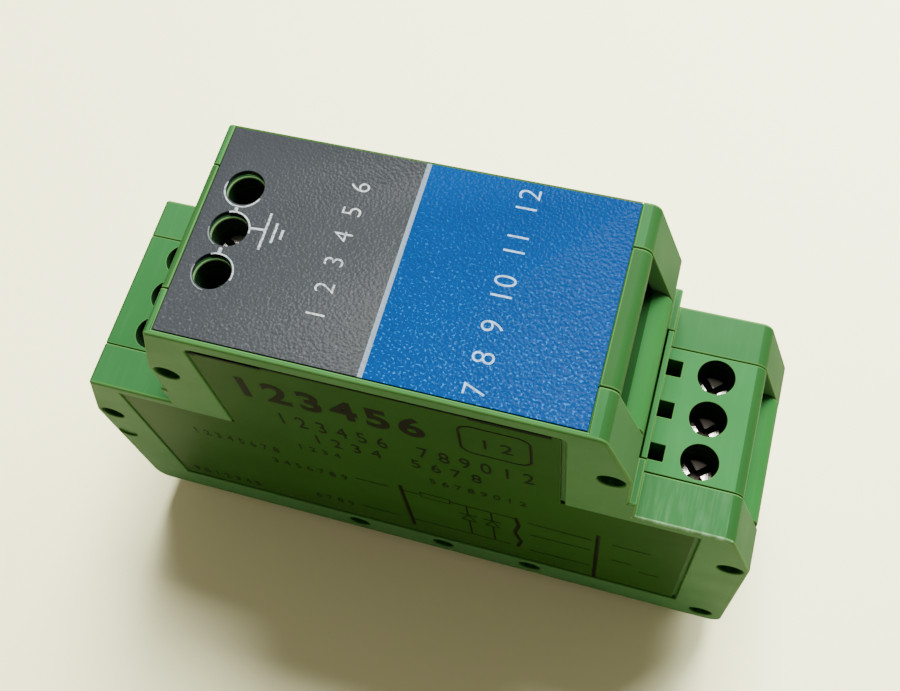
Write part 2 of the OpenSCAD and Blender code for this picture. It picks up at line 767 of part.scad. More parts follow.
// Places of the holes in the boards, as x and y
function contact_holes(x) = [for (n = [0:poles - 1]) [x, pole_y(n)]];
function link_holes() = [for (n = [0:poles - 1]) [link_x, pole_y(n)]];
earth_bar_x = -upper_screw_x + block_inner + link_bar_gap + link_bar_t / 2;
function part_holes(x, y, span) = [[x - span / 2, y], [x + span / 2, y]];
upper_holes = concat(
    contact_holes(-upper_screw_x + test_in), link_holes(), contact_holes(earth_bar_x),
    [for (s = part_sides) each part_holes(0, s * fuse_y, fuse_span)]);
lower_holes = concat(
    contact_holes(-lower_screw_x + test_in), contact_holes(lower_screw_x - test_in), link_holes(),
    [for (x = [-parts_x, parts_x], y = [-diode_y, 0, diode_y]) each part_holes(x, y, lead_span)]);
module board(half, z, holes) {
    difference() {
        block([-half, -board_half_w, z - board_t], [half, board_half_w, z]);
        for (h = holes) upright(h[0], h[1], hole_d, z - board_t - over, z + over);
    }
}
module upper_board() {
    color([0.10, 0.36, 0.22]) board(upper_board_half, upper_board_z, upper_holes);
}
module lower_board() {
    color([0.10, 0.36, 0.22]) board(lower_board_half, lower_board_z, lower_holes);
}
// Square pins that join the two boards
module board_link_pins() {
    color(tinned) for (h = link_holes())
        block([h[0] - link_w / 2, h[1] - link_w / 2, lower_board_z - board_t - pin_out],
              [h[0] + link_w / 2, h[1] + link_w / 2, upper_board_z + pin_out]);
}
// The bar that ties the three upper contacts to earth
module earth_link_bar() {
    half = pole_y(poles - 1) + pin_w;
    t = link_bar_t / 2;
    color([0.80, 0.52, 0.30]) translate([earth_bar_x, 0, upper_board_z]) union() {
        block([-t, -half, 0], [t, half, link_bar_h]);
        each_pole() block([-t, -pin_w / 2, -board_t - pin_out], [t, pin_w / 2, eps]);
    }
}
// A part that lies on its board, with two bent leads
module axial_part(x, y, z, d, l, span, paint) {
    axis = part_rise + d / 2;
    color(paint) translate([x, y, z]) union() {
        translate([-l / 2, 0, axis]) rotate([0, 90, 0]) cylinder(d = d, h = l, $fn = round_fn);
        translate([-span / 2, 0, axis]) rotate([0, 90, 0])
            cylinder(d = lead_d, h = span, $fn = round_fn);
        for (s = part_sides) {
            translate([s * span / 2, 0, axis]) sphere(d = lead_d, $fn = round_fn);
            upright(s * span / 2, 0, lead_d, -board_t - pin_out, axis);
        }
    }
}
module zener_diode(n) {
    axial_part(n % 2 == 0 ? parts_x : -parts_x, n > 2 ? diode_y : -diode_y, lower_board_z,
               diode_d, diode_l, lead_span, [0.12, 0.12, 0.13]);
}
module resistor(n) {
    axial_part(n == 2 ? parts_x : -parts_x, 0, lower_board_z,
               resistor_d, resistor_l, lead_span, [0.55, 0.45, 0.30]);
}
module fuse(n) {
    axial_part(0, n == 2 ? fuse_y : -fuse_y, upper_board_z,
               fuse_d, fuse_l, fuse_span, [0.86, 0.84, 0.78]);
}

near_cheek();
far_cheek();
side_label();
base_tray();
top_cover();
top_label();
left_step_cover();
right_step_cover();
upper_terminal_block();
left_terminal_block();
right_terminal_block();
blank_block();
upper_board();
lower_board();
board_link_pins();
earth_link_bar();
upper_screws();
left_screws();
right_screws();
for (n = [1:poles]) {
    y = pole_y(n - 1);
    at_upper(-1) translate([0, y, 0]) clamp_cage();
    at_lower(-1) translate([0, y, 0]) clamp_cage();
    at_lower(1) translate([0, y, 0]) clamp_cage();
    at_upper(-1) translate([0, y, 0]) contact();
    at_lower(-1) translate([0, y, 0]) contact();
    at_lower(1) translate([0, y, 0]) contact();
}
for (n = [1:4])
    zener_diode(n);
for (n = [1:2]) {
    resistor(n);
    fuse(n);
}
rail_latch();
latch_spring();
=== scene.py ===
import math

import bmesh
import bpy
from mathutils import Matrix, Vector
from mathutils.bvhtree import BVHTree


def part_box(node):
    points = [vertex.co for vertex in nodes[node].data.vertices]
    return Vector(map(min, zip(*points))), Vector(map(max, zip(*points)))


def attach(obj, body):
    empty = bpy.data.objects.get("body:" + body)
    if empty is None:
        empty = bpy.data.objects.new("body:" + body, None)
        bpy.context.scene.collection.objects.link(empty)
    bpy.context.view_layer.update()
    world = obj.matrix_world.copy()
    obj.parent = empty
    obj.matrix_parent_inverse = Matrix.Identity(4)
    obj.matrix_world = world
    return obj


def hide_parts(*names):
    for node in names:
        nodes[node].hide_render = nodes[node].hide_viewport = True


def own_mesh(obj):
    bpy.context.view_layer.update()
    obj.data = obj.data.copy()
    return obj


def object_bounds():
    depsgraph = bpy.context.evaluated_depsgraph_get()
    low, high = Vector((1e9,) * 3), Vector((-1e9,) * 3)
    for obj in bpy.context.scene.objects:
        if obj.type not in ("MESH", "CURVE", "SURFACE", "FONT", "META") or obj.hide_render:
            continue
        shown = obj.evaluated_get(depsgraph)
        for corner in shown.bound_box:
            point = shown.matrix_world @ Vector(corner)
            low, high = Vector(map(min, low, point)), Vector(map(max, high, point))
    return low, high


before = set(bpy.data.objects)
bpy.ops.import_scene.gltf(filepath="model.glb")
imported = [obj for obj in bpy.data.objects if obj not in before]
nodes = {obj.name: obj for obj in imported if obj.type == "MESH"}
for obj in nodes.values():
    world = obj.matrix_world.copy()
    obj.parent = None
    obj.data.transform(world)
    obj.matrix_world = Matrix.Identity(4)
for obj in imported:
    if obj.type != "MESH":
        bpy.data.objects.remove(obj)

cad_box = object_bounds()
MM = 0.001


# Camera, desk and light
# The photo looks down on the barrier from above its near right corner, about 170 mm away.
# It stands on a pale desk under a soft ceiling light, with a window behind it to its right.

camera = bpy.data.objects.new("camera", bpy.data.cameras.new("camera"))
camera.location = (26.76 * MM, -48.54 * MM, 163.58 * MM)
camera.rotation_euler = [math.radians(a) for a in (26.212, 6.58, 16.625)]
camera.data.lens = 47
camera.data.sensor_width = 36
camera.data.shift_x = 0.052
camera.data.shift_y = -0.0437
camera.data.clip_start = 5 * MM
bpy.context.scene.collection.objects.link(camera)
bpy.context.scene.camera = camera


def linear(hex_colour):
    """An sRGB hex colour as linear red, green, blue and alpha."""
    channels = [int(hex_colour[i:i + 2], 16) / 255 for i in (1, 3, 5)]
    return [c / 12.92 if c <= 0.04045 else ((c + 0.055) / 1.055) ** 2.4 for c in channels] + [1]


def add_node(tree, kind, inputs=None, **settings):
    """Adds a node with its settings and its inputs, each a value or another node's socket."""
    node = tree.nodes.new(kind)
    for name, value in settings.items():
        setattr(node, name, value)
    for name, value in (inputs or {}).items():
        if isinstance(value, bpy.types.NodeSocket):
            tree.links.new(value, node.inputs[name])
        else:
            node.inputs[name].default_value = value
    return node


def start_material(name, shader_values):
    """A new material with one shader, and the object's own coordinates to draw patterns on."""
    material = bpy.data.materials.new(name)
    material.use_nodes = True
    tree = material.node_tree
    tree.nodes.clear()
    shader = add_node(tree, "ShaderNodeBsdfPrincipled", shader_values)
    add_node(tree, "ShaderNodeOutputMaterial", {"Surface": shader.outputs[0]})
    place = add_node(tree, "ShaderNodeTexCoord").outputs["Object"]
    return material, tree, shader, place


def join(tree, output, shader, socket):
    """Links a pattern to one of the shader's sockets."""
    tree.links.new(output, shader.inputs[socket])


# Laminate with a faint cloudiness that keeps the desk from looking like a flat card.
desk_material, tree, shader, place = start_material("pale_laminate", {"Roughness": 0.55})
cloud = add_node(tree, "ShaderNodeTexNoise", {
    "Vector": place, "Scale": 1 / (90 * MM), "Detail": 4})
desk_colour = add_node(tree, "ShaderNodeMix", {
    0: cloud.outputs[0], 6: linear("#e4e5b8"), 7: linear("#dee0b0")}, data_type="RGBA")
join(tree, desk_colour.outputs[2], shader, "Base Color")

DESK_HALF = 900 * MM
desk_mesh = bpy.data.meshes.new("desk")
desk_mesh.from_pydata(
    [(x * DESK_HALF, y * DESK_HALF, 0) for x, y in ((-1, -1), (1, -1), (1, 1), (-1, 1))],
    [], [(0, 1, 2, 3)])
desk_mesh.materials.append(desk_material)
desk = bpy.data.objects.new("desk", desk_mesh)
bpy.context.scene.collection.objects.link(desk)

# Each light: name, place in mm, size in mm, power in watts, colour.
for name, place_mm, size_mm, power, tint in (
        ("ceiling_light", (31, 449, 779), 450, 44, "#fffdf3"),
        ("window_light", (254, 362, 310), 220, 4.6, "#fbfbf4")):
    light = bpy.data.objects.new(name, bpy.data.lights.new(name, "AREA"))
    light.location = Vector(place_mm) * MM
    light.rotation_euler = (-light.location).to_track_quat("-Z", "Y").to_euler()
    light.data.size = size_mm * MM
    light.data.energy = power
    light.data.color = linear(tint)[:3]
    bpy.context.scene.collection.objects.link(light)

room = bpy.data.worlds.new("room")
room.use_nodes = True
room.node_tree.nodes.clear()
room_glow = add_node(room.node_tree, "ShaderNodeBackground", {
    "Color": linear("#ffeedc"), "Strength": 0.39})
add_node(room.node_tree, "ShaderNodeOutputWorld", {"Surface": room_glow.outputs[0]})
bpy.context.scene.world = room


# Side cheeks
# Two shells injection-moulded in green polyamide. Each carries half of the housing's outline,
# takes the studs of the middle pieces in its sockets, and is pressed on from its side.

# Sizes of a soft drag mark and of a rubbed line, in mm along x, y and z. The line's width is
# given with each material.
DRAG_MM = (0.5, 9, 0.8)
RUB_MM = (3.2, 3)
DRAG_COLOUR, RUB_AND_HIGHLIGHT_COLOUR = "#8fb489", "#9cbd9a"


def moulded_polyamide(name, light, deep, streaks=0.0, shine=0.04, scuffs_and_highlight=None, scuff_mm=0.35,
                      scuff_least=0.0, scuff_most=0.04):
    """Satin moulded plastic: faintly clouded, with a fine eroded skin and soft drag marks."""
    material, tree, shader, place = start_material(name, {
        "IOR": 1.53, "Specular IOR Level": shine})
    cloud = add_node(tree, "ShaderNodeTexNoise", {
        "Vector": place, "Scale": 1 / (8 * MM), "Detail": 4})
    colour = add_node(tree, "ShaderNodeMix", {
        0: cloud.outputs[0], 6: linear(light), 7: linear(deep)}, data_type="RGBA").outputs[2]
    drag_place = add_node(tree, "ShaderNodeMapping", {
        "Vector": place, "Scale": [1 / (length * MM) for length in DRAG_MM]})
    drag = add_node(tree, "ShaderNodeTexNoise", {
        "Vector": drag_place.outputs[0], "Scale": 1.0, "Detail": 2})
    drag_share = add_node(tree, "ShaderNodeMapRange", {
        "Value": drag.outputs[0], "From Min": 0.5, "From Max": 0.75, "To Max": streaks})
    colour = add_node(tree, "ShaderNodeMix", {
        0: drag_share.outputs[0], 6: colour, 7: linear(DRAG_COLOUR)}, data_type="RGBA").outputs[2]
    if scuffs_and_highlight:
        # Whitish rubbed lines, kept to the box that scuffs gives as its lowest and highest corner.
        # Along an edge such a line is partly a painted highlight.
        inside = None
        axes = add_node(tree, "ShaderNodeSeparateXYZ", {"Vector": place})
        for axis in range(3):
            low, high = scuffs_and_highlight[0][axis] * MM, scuffs_and_highlight[1][axis] * MM
            within = add_node(tree, "ShaderNodeMath", {
                0: axes.outputs[axis], 1: (low + high) / 2, 2: (high - low) / 2},
                operation="COMPARE").outputs[0]
            if inside is not None:
                within = add_node(tree, "ShaderNodeMath", {
                    0: inside, 1: within}, operation="MULTIPLY").outputs[0]
            inside = within
        rub_place = add_node(tree, "ShaderNodeMapping", {
            "Vector": place, "Scale": [1 / (length * MM) for length in (scuff_mm, *RUB_MM)]})
        rub = add_node(tree, "ShaderNodeTexNoise", {
            "Vector": rub_place.outputs[0], "Scale": 1.0, "Detail": 3})
        rub_share = add_node(tree, "ShaderNodeMapRange", {
            "Value": rub.outputs[0], "From Min": 0.46, "From Max": 0.74,
            "To Min": scuff_least, "To Max": scuff_most})
        rub_here = add_node(tree, "ShaderNodeMath", {
            0: rub_share.outputs[0], 1: inside}, operation="MULTIPLY")
        colour = add_node(tree, "ShaderNodeMix", {
            0: rub_here.outputs[0], 6: colour, 7: linear(RUB_AND_HIGHLIGHT_COLOUR)}, data_type="RGBA").outputs[2]
    join(tree, colour, shader, "Base Color")
    # The skin's real grain is under 0.1 mm. It is drawn as coarse as it needs to show.
    skin = add_node(tree, "ShaderNodeTexNoise", {
        "Vector": place, "Scale": 1 / (0.3 * MM), "Detail": 3})
    gloss = add_node(tree, "ShaderNodeMapRange", {
        "Value": cloud.outputs[0], "From Min": 0.3, "From Max": 0.7,
        "To Min": 0.56, "To Max": 0.68})
    join(tree, gloss.outputs[0], shader, "Roughness")
    wave = add_node(tree, "ShaderNodeTexNoise", {
        "Vector": place, "Scale": 1 / (4 * MM), "Detail": 1})
    height = add_node(tree, "ShaderNodeMath", {
        0: wave.outputs[0], 1: 4.0, 2: skin.outputs[0]}, operation="MULTIPLY_ADD")
    bump = add_node(tree, "ShaderNodeBump", {
        "Height": height.outputs[0], "Distance": 0.006 * MM, "Strength": 0.7})
    join(tree, bump.outputs[0], shader, "Normal")
    return material


def new_piece(name, mesh, body, slot, *replaced):
    """Puts a finished mesh in the scene, on its body, and hides the nodes it replaces. Its slot is
    not used.
    """
    piece = bpy.data.objects.new(name, mesh)
    bpy.context.scene.collection.objects.link(piece)
    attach(piece, body)
    if replaced:
        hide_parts(*replaced)
    return piece


# Places closer than SLACK count as one. A face counts as sloping, end-on, square to an axis or
# quite flat when its normal has at least this share along that axis.
SLACK = 0.01 * MM
SLOPING, END_ON, SQUARE, FLAT = 0.3, 0.7, 0.9, 0.985

# Edges bent more than EDGE_ANGLE are rounded, in EDGE_STEPS steps. Some get only a share of the
# radius: those of the label's pocket, and those at the round gate mark near the left end.
EDGE_ANGLE = math.radians(32)
EDGE_STEPS = 3
POCKET_SHARE, POCKET_ROUND = 0.15, 0.3 * MM
GATE_SHARE, GATE_END_SHARE = 0.4, 0.35
GATE_X, GATE_Z, GATE_REACH = -38.5 * MM, 23.7 * MM, 1.3 * MM
GATE_END_TOP = 34 * MM
MERGE_DISTANCE = 0.0005 * MM
SAME_PLANE = math.radians(0.5)
RAY_INSET = 0.2 * MM
pocket_low, pocket_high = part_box("top_label")


def middle_of(edge):
    """The middle of an edge."""
    return (edge.verts[0].co + edge.verts[1].co) / 2


def by_pocket(edge):
    """True for an edge of the label pocket's floor or ends, which the mould left nearly sharp."""
    middle = middle_of(edge)
    in_height = pocket_low.z - SLACK < middle.z < cad_box[1][2] - SLACK
    return in_height and pocket_low.x - POCKET_ROUND < middle.x < pocket_high.x + POCKET_ROUND


def gate_share(edge, share):
    """Less rounding at the round gate mark and the end beside it, which are 0.25 mm apart."""
    middle = middle_of(edge)
    if math.hypot(middle.x - GATE_X, middle.z - GATE_Z) < GATE_REACH:
        return min(share, GATE_SHARE)
    at_end = max(vertex.co.x for vertex in edge.verts) < cad_box[0][0] + SLACK
    return min(share, GATE_END_SHARE) if at_end and middle.z < GATE_END_TOP else share


def on_outline(solid, edge):
    """True for an edge of a cheek's outer face past which the piece has nothing more."""
    middle = middle_of(edge)
    side = min(edge.link_faces, key=lambda face: abs(face.normal.y))
    flat = max(edge.link_faces, key=lambda face: abs(face.normal.y))
    if abs(middle.y) < cad_box[1][1] - SLACK:
        return False
    if abs(flat.normal.y) < SQUARE or abs(side.normal.y) > 1 - SQUARE:
        return False
    start = middle + side.normal * SLACK
    start.y *= 1 - RAY_INSET / abs(middle.y)
    return solid.ray_cast(start, side.normal)[0] is None


def rounded_mesh(node, radius, materials, inner_share=None):
    """A merged copy of a CAD node, its flat faces joined and its sharp edges rounded.

    The roundings get the last material. With inner_share, only the outline of the node's outer
    face gets the whole radius.
    """
    work = bmesh.new()
    work.from_mesh(nodes[node].data)
    bmesh.ops.remove_doubles(work, verts=work.verts, dist=MERGE_DISTANCE)
    bmesh.ops.dissolve_limit(
        work, angle_limit=SAME_PLANE, verts=work.verts, edges=work.edges)
    for face in work.faces:
        face.smooth = True
    if inner_share:
        work.normal_update()
        solid = BVHTree.FromBMesh(work)
        weight = work.edges.layers.float.new("bevel_weight_edge")
        for edge in work.edges:
            if edge.is_manifold and edge.calc_face_angle() > EDGE_ANGLE:
                share = 1.0 if on_outline(solid, edge) else inner_share
                edge[weight] = POCKET_SHARE if by_pocket(edge) else gate_share(edge, share)
    mesh = bpy.data.meshes.new(node)
    work.to_mesh(mesh)
    work.free()
    mesh.materials.clear()
    for material in materials:
        mesh.materials.append(material)
    worker = bpy.data.objects.new(node + "_worker", mesh)
    bpy.context.scene.collection.objects.link(worker)
    bevel = worker.modifiers.new("edges", "BEVEL")
    bevel.width = radius * MM
    bevel.segments = EDGE_STEPS
    bevel.limit_method = "WEIGHT" if inner_share else "ANGLE"
    bevel.angle_limit = EDGE_ANGLE
    bevel.use_clamp_overlap = False
    bevel.loop_slide = False
    bevel.material = len(materials) - 1
    weights = worker.modifiers.new("normals", "WEIGHTED_NORMAL")
    weights.keep_sharp = True
    done = bpy.data.meshes.new_from_object(
        worker.evaluated_get(bpy.context.evaluated_depsgraph_get()))
    bpy.data.objects.remove(worker)
    return done


def paint_light_by_facing(mesh, top, bend, end=0):
    """Gives flat tops, the bends beside them and end faces their own copy of the green: painted
    light and shade.
    """
    for face in mesh.polygons:
        if face.material_index == 0 and face.normal.z > SLOPING:
            face.material_index = top if face.normal.z > FLAT else bend
        elif face.material_index == 0 and abs(face.normal.x) > END_ON:
            face.material_index = end


# The cheeks' sides, flat tops, bends and end faces are copies of one green: painted light and
# shade.
cheek_green = moulded_polyamide(
    "moulded_polyamide_cheek", "#345e37", "#2f5531", streaks=0.01, shine=0.07)
cheek_top_painted_light_green = moulded_polyamide(
    "moulded_polyamide_cheek_top_painted_light", "#1f4d27", "#1b4523", streaks=0.01,
    scuffs_and_highlight=((27.2, -12.6, 41.2), (37, -7.5, 42.1)))
# The bends and the end faces are painted darker: painted shade.
bend_painted_shade_green = moulded_polyamide("moulded_polyamide_bend_painted_shade", "#183f1a", "#143816")
end_painted_shade_green = moulded_polyamide("moulded_polyamide_cheek_end_painted_shade", "#2e502f", "#2a492b", shine=0.01)
# The rounded edges are painted a lighter green as a painted highlight; along the near step's front
# edge a pale line is added, partly wear and partly painted highlight.
edge_highlight_and_wear_green = moulded_polyamide(
    "moulded_polyamide_edge_highlight_and_wear", "#38602f", "#30542a",
    scuffs_and_highlight=((26, -12.8, 41.2), (38, -12.3, 41.8)), scuff_mm=1.6, scuff_least=0.1, scuff_most=0.5)

CHEEK_ROUND, INNER_SHARE = 0.32, 0.5
for node in ("near_cheek", "far_cheek"):
    mesh = rounded_mesh(
        node, CHEEK_ROUND, [cheek_green, cheek_top_painted_light_green, bend_painted_shade_green, end_painted_shade_green, edge_highlight_and_wear_green],
        inner_share=INNER_SHARE)
    paint_light_by_facing(mesh, 1, 2, end=3)
    new_piece(node + "_shell", mesh, "housing", "housing_plastic", node)


# Middle covers, blocks and base tray
# The pieces between the cheeks: covers over each terminal step, the blocks that hold the
# terminals and the tray with the rail foot, all moulded in the same green polyamide.

middle_green = moulded_polyamide("moulded_polyamide_cover", "#1f572b", "#1b4f26", streaks=0.01)
left_green = moulded_polyamide("moulded_polyamide_left_cover", "#1b4b24", "#174220", streaks=0.01)
block_green = moulded_polyamide("moulded_polyamide_block", "#1d5224", "#194a20", streaks=0.01)
lip_green = moulded_polyamide("moulded_polyamide_top_cover", "#1b3f1b", "#183918")
# A paler green for the top rim of each screw well: a painted highlight.
rim_painted_highlight_green = moulded_polyamide("moulded_polyamide_well_rim_painted_highlight", "#465c40", "#3f5439")


CUT_MERGE = 0.0001 * MM


def split_mesh(mesh, axis, cuts, choose):
    """Cuts a mesh at places along an axis, and gives each face the material that choose names."""
    work = bmesh.new()
    work.from_mesh(mesh)
    direction = Vector([1.0 if i == axis else 0.0 for i in range(3)])
    for cut in cuts:
        bmesh.ops.bisect_plane(
            work, geom=work.verts[:] + work.edges[:] + work.faces[:], dist=CUT_MERGE,
            plane_co=direction * cut, plane_no=direction)
    for face in work.faces:
        face.material_index = choose(face, face.calc_center_median())
    work.to_mesh(mesh)
    work.free()
    return mesh


# The walls of the screw wells are left rough by their core pins. They, and the pocket floor under
# the label, are painted dark green as painted shade; a narrow rim at the top of each wall is
# painted paler as a painted highlight.
well_painted_shade_green = moulded_polyamide("moulded_polyamide_well_painted_shade", "#0f2913", "#0b200f")
# The floor of the notch behind the blank block's front edge is painted darker: painted shade.
notch_painted_shade_green = moulded_polyamide("moulded_polyamide_notch_floor_painted_shade", "#0b3210", "#092b0d")
NOTCH_DARK_TO = 23.75 * MM
SCREW_Y = (-5, 0, 5)
WELL_REACH = 2.35 * MM
PALE_RIM = 0.25 * MM
rim_z = pocket_low.z - PALE_RIM


def well_shade_painter(screw_x):
    """Picks painted shade for a row's well walls and the floor under the label, and a highlight
    for rims.
    """
    def choose(face, centre):
        along = min(abs(centre.y - y * MM) for y in SCREW_Y)
        if abs(face.normal.z) < SQUARE and math.hypot(centre.x - screw_x, along) < WELL_REACH:
            return 1 if centre.z < rim_z else 2
        under_label = face.normal.z > SQUARE and abs(centre.z - pocket_low.z) < SLACK
        return 1 if under_label else face.material_index
    return choose


def notch_painter(face, centre):
    """Picks the painted shade for the floor of the blank block's notch."""
    in_notch = face.normal.z > FLAT and centre.x < NOTCH_DARK_TO
    return 3 if in_notch else face.material_index


# Each piece: node, rounding in mm, its green, the row of screws in its wells, and its slot.
for node, radius, paint, row, slot in (
        ("top_cover", 0.15, lip_green, "upper", "housing_plastic"),
        ("left_step_cover", 0.1, left_green, "left", "housing_plastic"),
        ("right_step_cover", 0.1, middle_green, "right", "housing_plastic"),
        ("upper_terminal_block", 0.15, block_green, "upper", "block_plastic"),
        ("left_terminal_block", 0.15, block_green, "left", "block_plastic"),
        ("right_terminal_block", 0.15, block_green, "right", "block_plastic"),
        ("blank_block", 0.15, block_green, None, "block_plastic"),
        ("base_tray", 0.2, block_green, None, "housing_plastic")):
    # The low green is painted shade, for the bends and for the blank block's notch floor.
    painted_shade_low_green = notch_painted_shade_green if node == "blank_block" else bend_painted_shade_green
    mesh = rounded_mesh(node, radius, [paint, well_painted_shade_green, rim_painted_highlight_green, painted_shade_low_green, edge_highlight_and_wear_green])
    if row:
        low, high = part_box(row + "_screws")
        split_mesh(mesh, 2, (rim_z,), well_shade_painter((low.x + high.x) / 2))
    if node.endswith("cover"):
        paint_light_by_facing(mesh, 0, 3)
    elif node == "blank_block":
        split_mesh(mesh, 0, (NOTCH_DARK_TO,), notch_painter)
    new_piece(node + "_moulding", mesh, "housing", slot, node)


# Top label
# A polycarbonate film, printed grey and blue from behind and embossed like fine leather.
# It lies in the pocket of the top face, and its three holes stand over the screw wells.

STRIPE_FROM, STRIPE_TO = -0.95 * MM, -0.45 * MM
BARE_RIM = 0.26 * MM
GRAIN_MM = 0.3
HOLLOW_COLOUR = "#46545f"


def embossed_film(name, light, deep, relief=0.1, hollow_darkening=0.0, painted_glints="#000000", painted_glint_share=0.0,
                  shine=0.018):
    """Printed film whose leather grain breaks the light, its print darker in the hollows, with
    painted glints.
    """
    material, tree, shader, place = start_material(name, {
        "Roughness": 0.25, "IOR": 1.58, "Specular IOR Level": shine})
    cloud = add_node(tree, "ShaderNodeTexNoise", {
        "Vector": place, "Scale": 1 / (6 * MM), "Detail": 5})
    colour = add_node(tree, "ShaderNodeMix", {
        0: cloud.outputs[0], 6: linear(light), 7: linear(deep)}, data_type="RGBA")
    bend = add_node(tree, "ShaderNodeTexNoise", {
        "Vector": place, "Scale": 1 / (0.5 * MM), "Detail": 1})
    bent = add_node(tree, "ShaderNodeVectorMath", {
        0: bend.outputs[1], 1: (0.15 * MM,) * 3, 2: place}, operation="MULTIPLY_ADD")
    cells = add_node(tree, "ShaderNodeTexVoronoi", {
        "Vector": bent.outputs[0], "Scale": 1 / (GRAIN_MM * MM)}, feature="SMOOTH_F1")
    # The print is made darker in the hollows between the grain's cells.
    in_hollows = add_node(tree, "ShaderNodeMapRange", {
        "Value": cells.outputs["Distance"], "From Min": 0.3, "From Max": 0.6, "To Max": hollow_darkening})
    colour = add_node(tree, "ShaderNodeMix", {
        0: in_hollows.outputs[0], 6: colour.outputs[2], 7: linear(HOLLOW_COLOUR)}, data_type="RGBA")
    # Where a cell of the grain stands highest, the print on it has a small pale painted glint: a
    # painted highlight. There are more of them towards the near side of the film.
    peaks = add_node(tree, "ShaderNodeTexNoise", {
        "Vector": place, "Scale": 1 / (0.28 * MM), "Detail": 1})
    axes = add_node(tree, "ShaderNodeSeparateXYZ", {"Vector": place})
    glint_density_towards_near = add_node(tree, "ShaderNodeMapRange", {
        "Value": axes.outputs[1], "From Min": 9 * MM, "From Max": -11 * MM,
        "To Min": 0.3 * painted_glint_share, "To Max": 1.4 * painted_glint_share})
    glint = add_node(tree, "ShaderNodeMapRange", {
        "Value": peaks.outputs[0], "From Min": 0.58, "From Max": 0.74,
        "To Max": glint_density_towards_near.outputs[0]})
    colour = add_node(tree, "ShaderNodeMix", {
        0: glint.outputs[0], 6: colour.outputs[2], 7: linear(painted_glints)}, data_type="RGBA")
    join(tree, colour.outputs[2], shader, "Base Color")
    bump = add_node(tree, "ShaderNodeBump", {
        "Height": cells.outputs["Distance"], "Distance": relief * MM, "Strength": 0.85},
        invert=True)
    join(tree, bump.outputs[0], shader, "Normal")
    return material


grey_film = embossed_film(
    "embossed_film_grey", "#282b2f", "#23262a", relief=0.05, painted_glints="#5d6166", painted_glint_share=0.16)
white_film = embossed_film("embossed_film_white", "#5a6a78", "#52616e", relief=0.06)
blue_film = embossed_film(
    "embossed_film_blue", "#032b5c", "#022653", relief=0.06, painted_glints="#1d6db0", painted_glint_share=0.4,
    shine=0.009)
# The print stops just short of the film's far edge, and the green under it shows there.
bare_film = embossed_film("embossed_film_over_green", "#26401c", "#213818", relief=0.04)
bare_from = pocket_high.y - BARE_RIM
label_mesh = rounded_mesh("top_label", 0.06, [grey_film, white_film, blue_film, bare_film])
split_mesh(label_mesh, 0, (STRIPE_FROM, STRIPE_TO), lambda face, centre: (
    0 if centre.x < STRIPE_FROM else 1 if centre.x < STRIPE_TO else 2))
split_mesh(label_mesh, 1, (bare_from,), lambda face, centre: (
    3 if centre.y > bare_from else face.material_index))
new_piece("top_label_film", label_mesh, "housing", "label_film", "top_label")


# Print on the top label
# White and pale blue ink screened onto the film: a ring round each screw hole, bars between
# the rings, the standard earth symbol, and plain terminal numbers that read up along the label.

INK_T = 0.02 * MM
white_ink = embossed_film("screened_ink_white", "#979da0", "#8b9296", hollow_darkening=0.75)
sky_ink = embossed_film("screened_ink_pale_blue", "#7596bb", "#6b8cb2", hollow_darkening=0.5)
rubbed_ink = embossed_film("screened_ink_rubbed", "#565c5e", "#4a5052", hollow_darkening=0.5)


def start_tree(name, sizes):
    """A Geometry Nodes tree with a geometry input and output, and the named inputs in sizes."""
    tree = bpy.data.node_groups.new(name, "GeometryNodeTree")
    tree.interface.new_socket("Geometry", in_out="INPUT", socket_type="NodeSocketGeometry")
    for socket_name, kind in sizes.items():
        tree.interface.new_socket(socket_name, in_out="INPUT", socket_type="NodeSocket" + kind)
    tree.interface.new_socket("Geometry", in_out="OUTPUT", socket_type="NodeSocketGeometry")
    return tree, add_node(tree, "NodeGroupInput").outputs


def end_tree(tree, geometry, material):
    """Ends a tree: its instances are made real and its material is set."""
    real = add_node(tree, "GeometryNodeRealizeInstances", {"Geometry": geometry})
    painted = add_node(tree, "GeometryNodeSetMaterial", {
        "Geometry": real.outputs[0], "Material": material})
    add_node(tree, "NodeGroupOutput", {"Geometry": painted.outputs[0]})


def grow(name, tree, seed, sizes):
    """Runs a tree on a seed mesh and keeps the result as a plain mesh."""
    worker = bpy.data.objects.new(name + "_worker", seed)
    bpy.context.scene.collection.objects.link(worker)
    modifier = worker.modifiers.new("grow", "NODES")
    modifier.node_group = tree
    for item in tree.interface.items_tree:
        if item.in_out == "INPUT" and item.name in sizes:
            modifier[item.identifier] = sizes[item.name]
    mesh = bpy.data.meshes.new_from_object(
        worker.evaluated_get(bpy.context.evaluated_depsgraph_get()))
    bpy.data.objects.remove(worker)
    mesh.name = name
    return mesh


PATH_LIFT, PATH_LEVELS = 0.001, 5


def paths_mesh(name, paths):
    """A mesh of edges only, from points in mm. Each path lies a hair over the one before it."""
    points, edges = [], []
    for number, path in enumerate(paths):
        start = len(points)
        points += [(x * MM, y * MM, number % PATH_LEVELS * PATH_LIFT * MM) for x, y in path]
        edges += [(start + i, start + i + 1) for i in range(len(path) - 1)]
    mesh = bpy.data.meshes.new(name)
    mesh.from_pydata(points, edges, [])
    return mesh


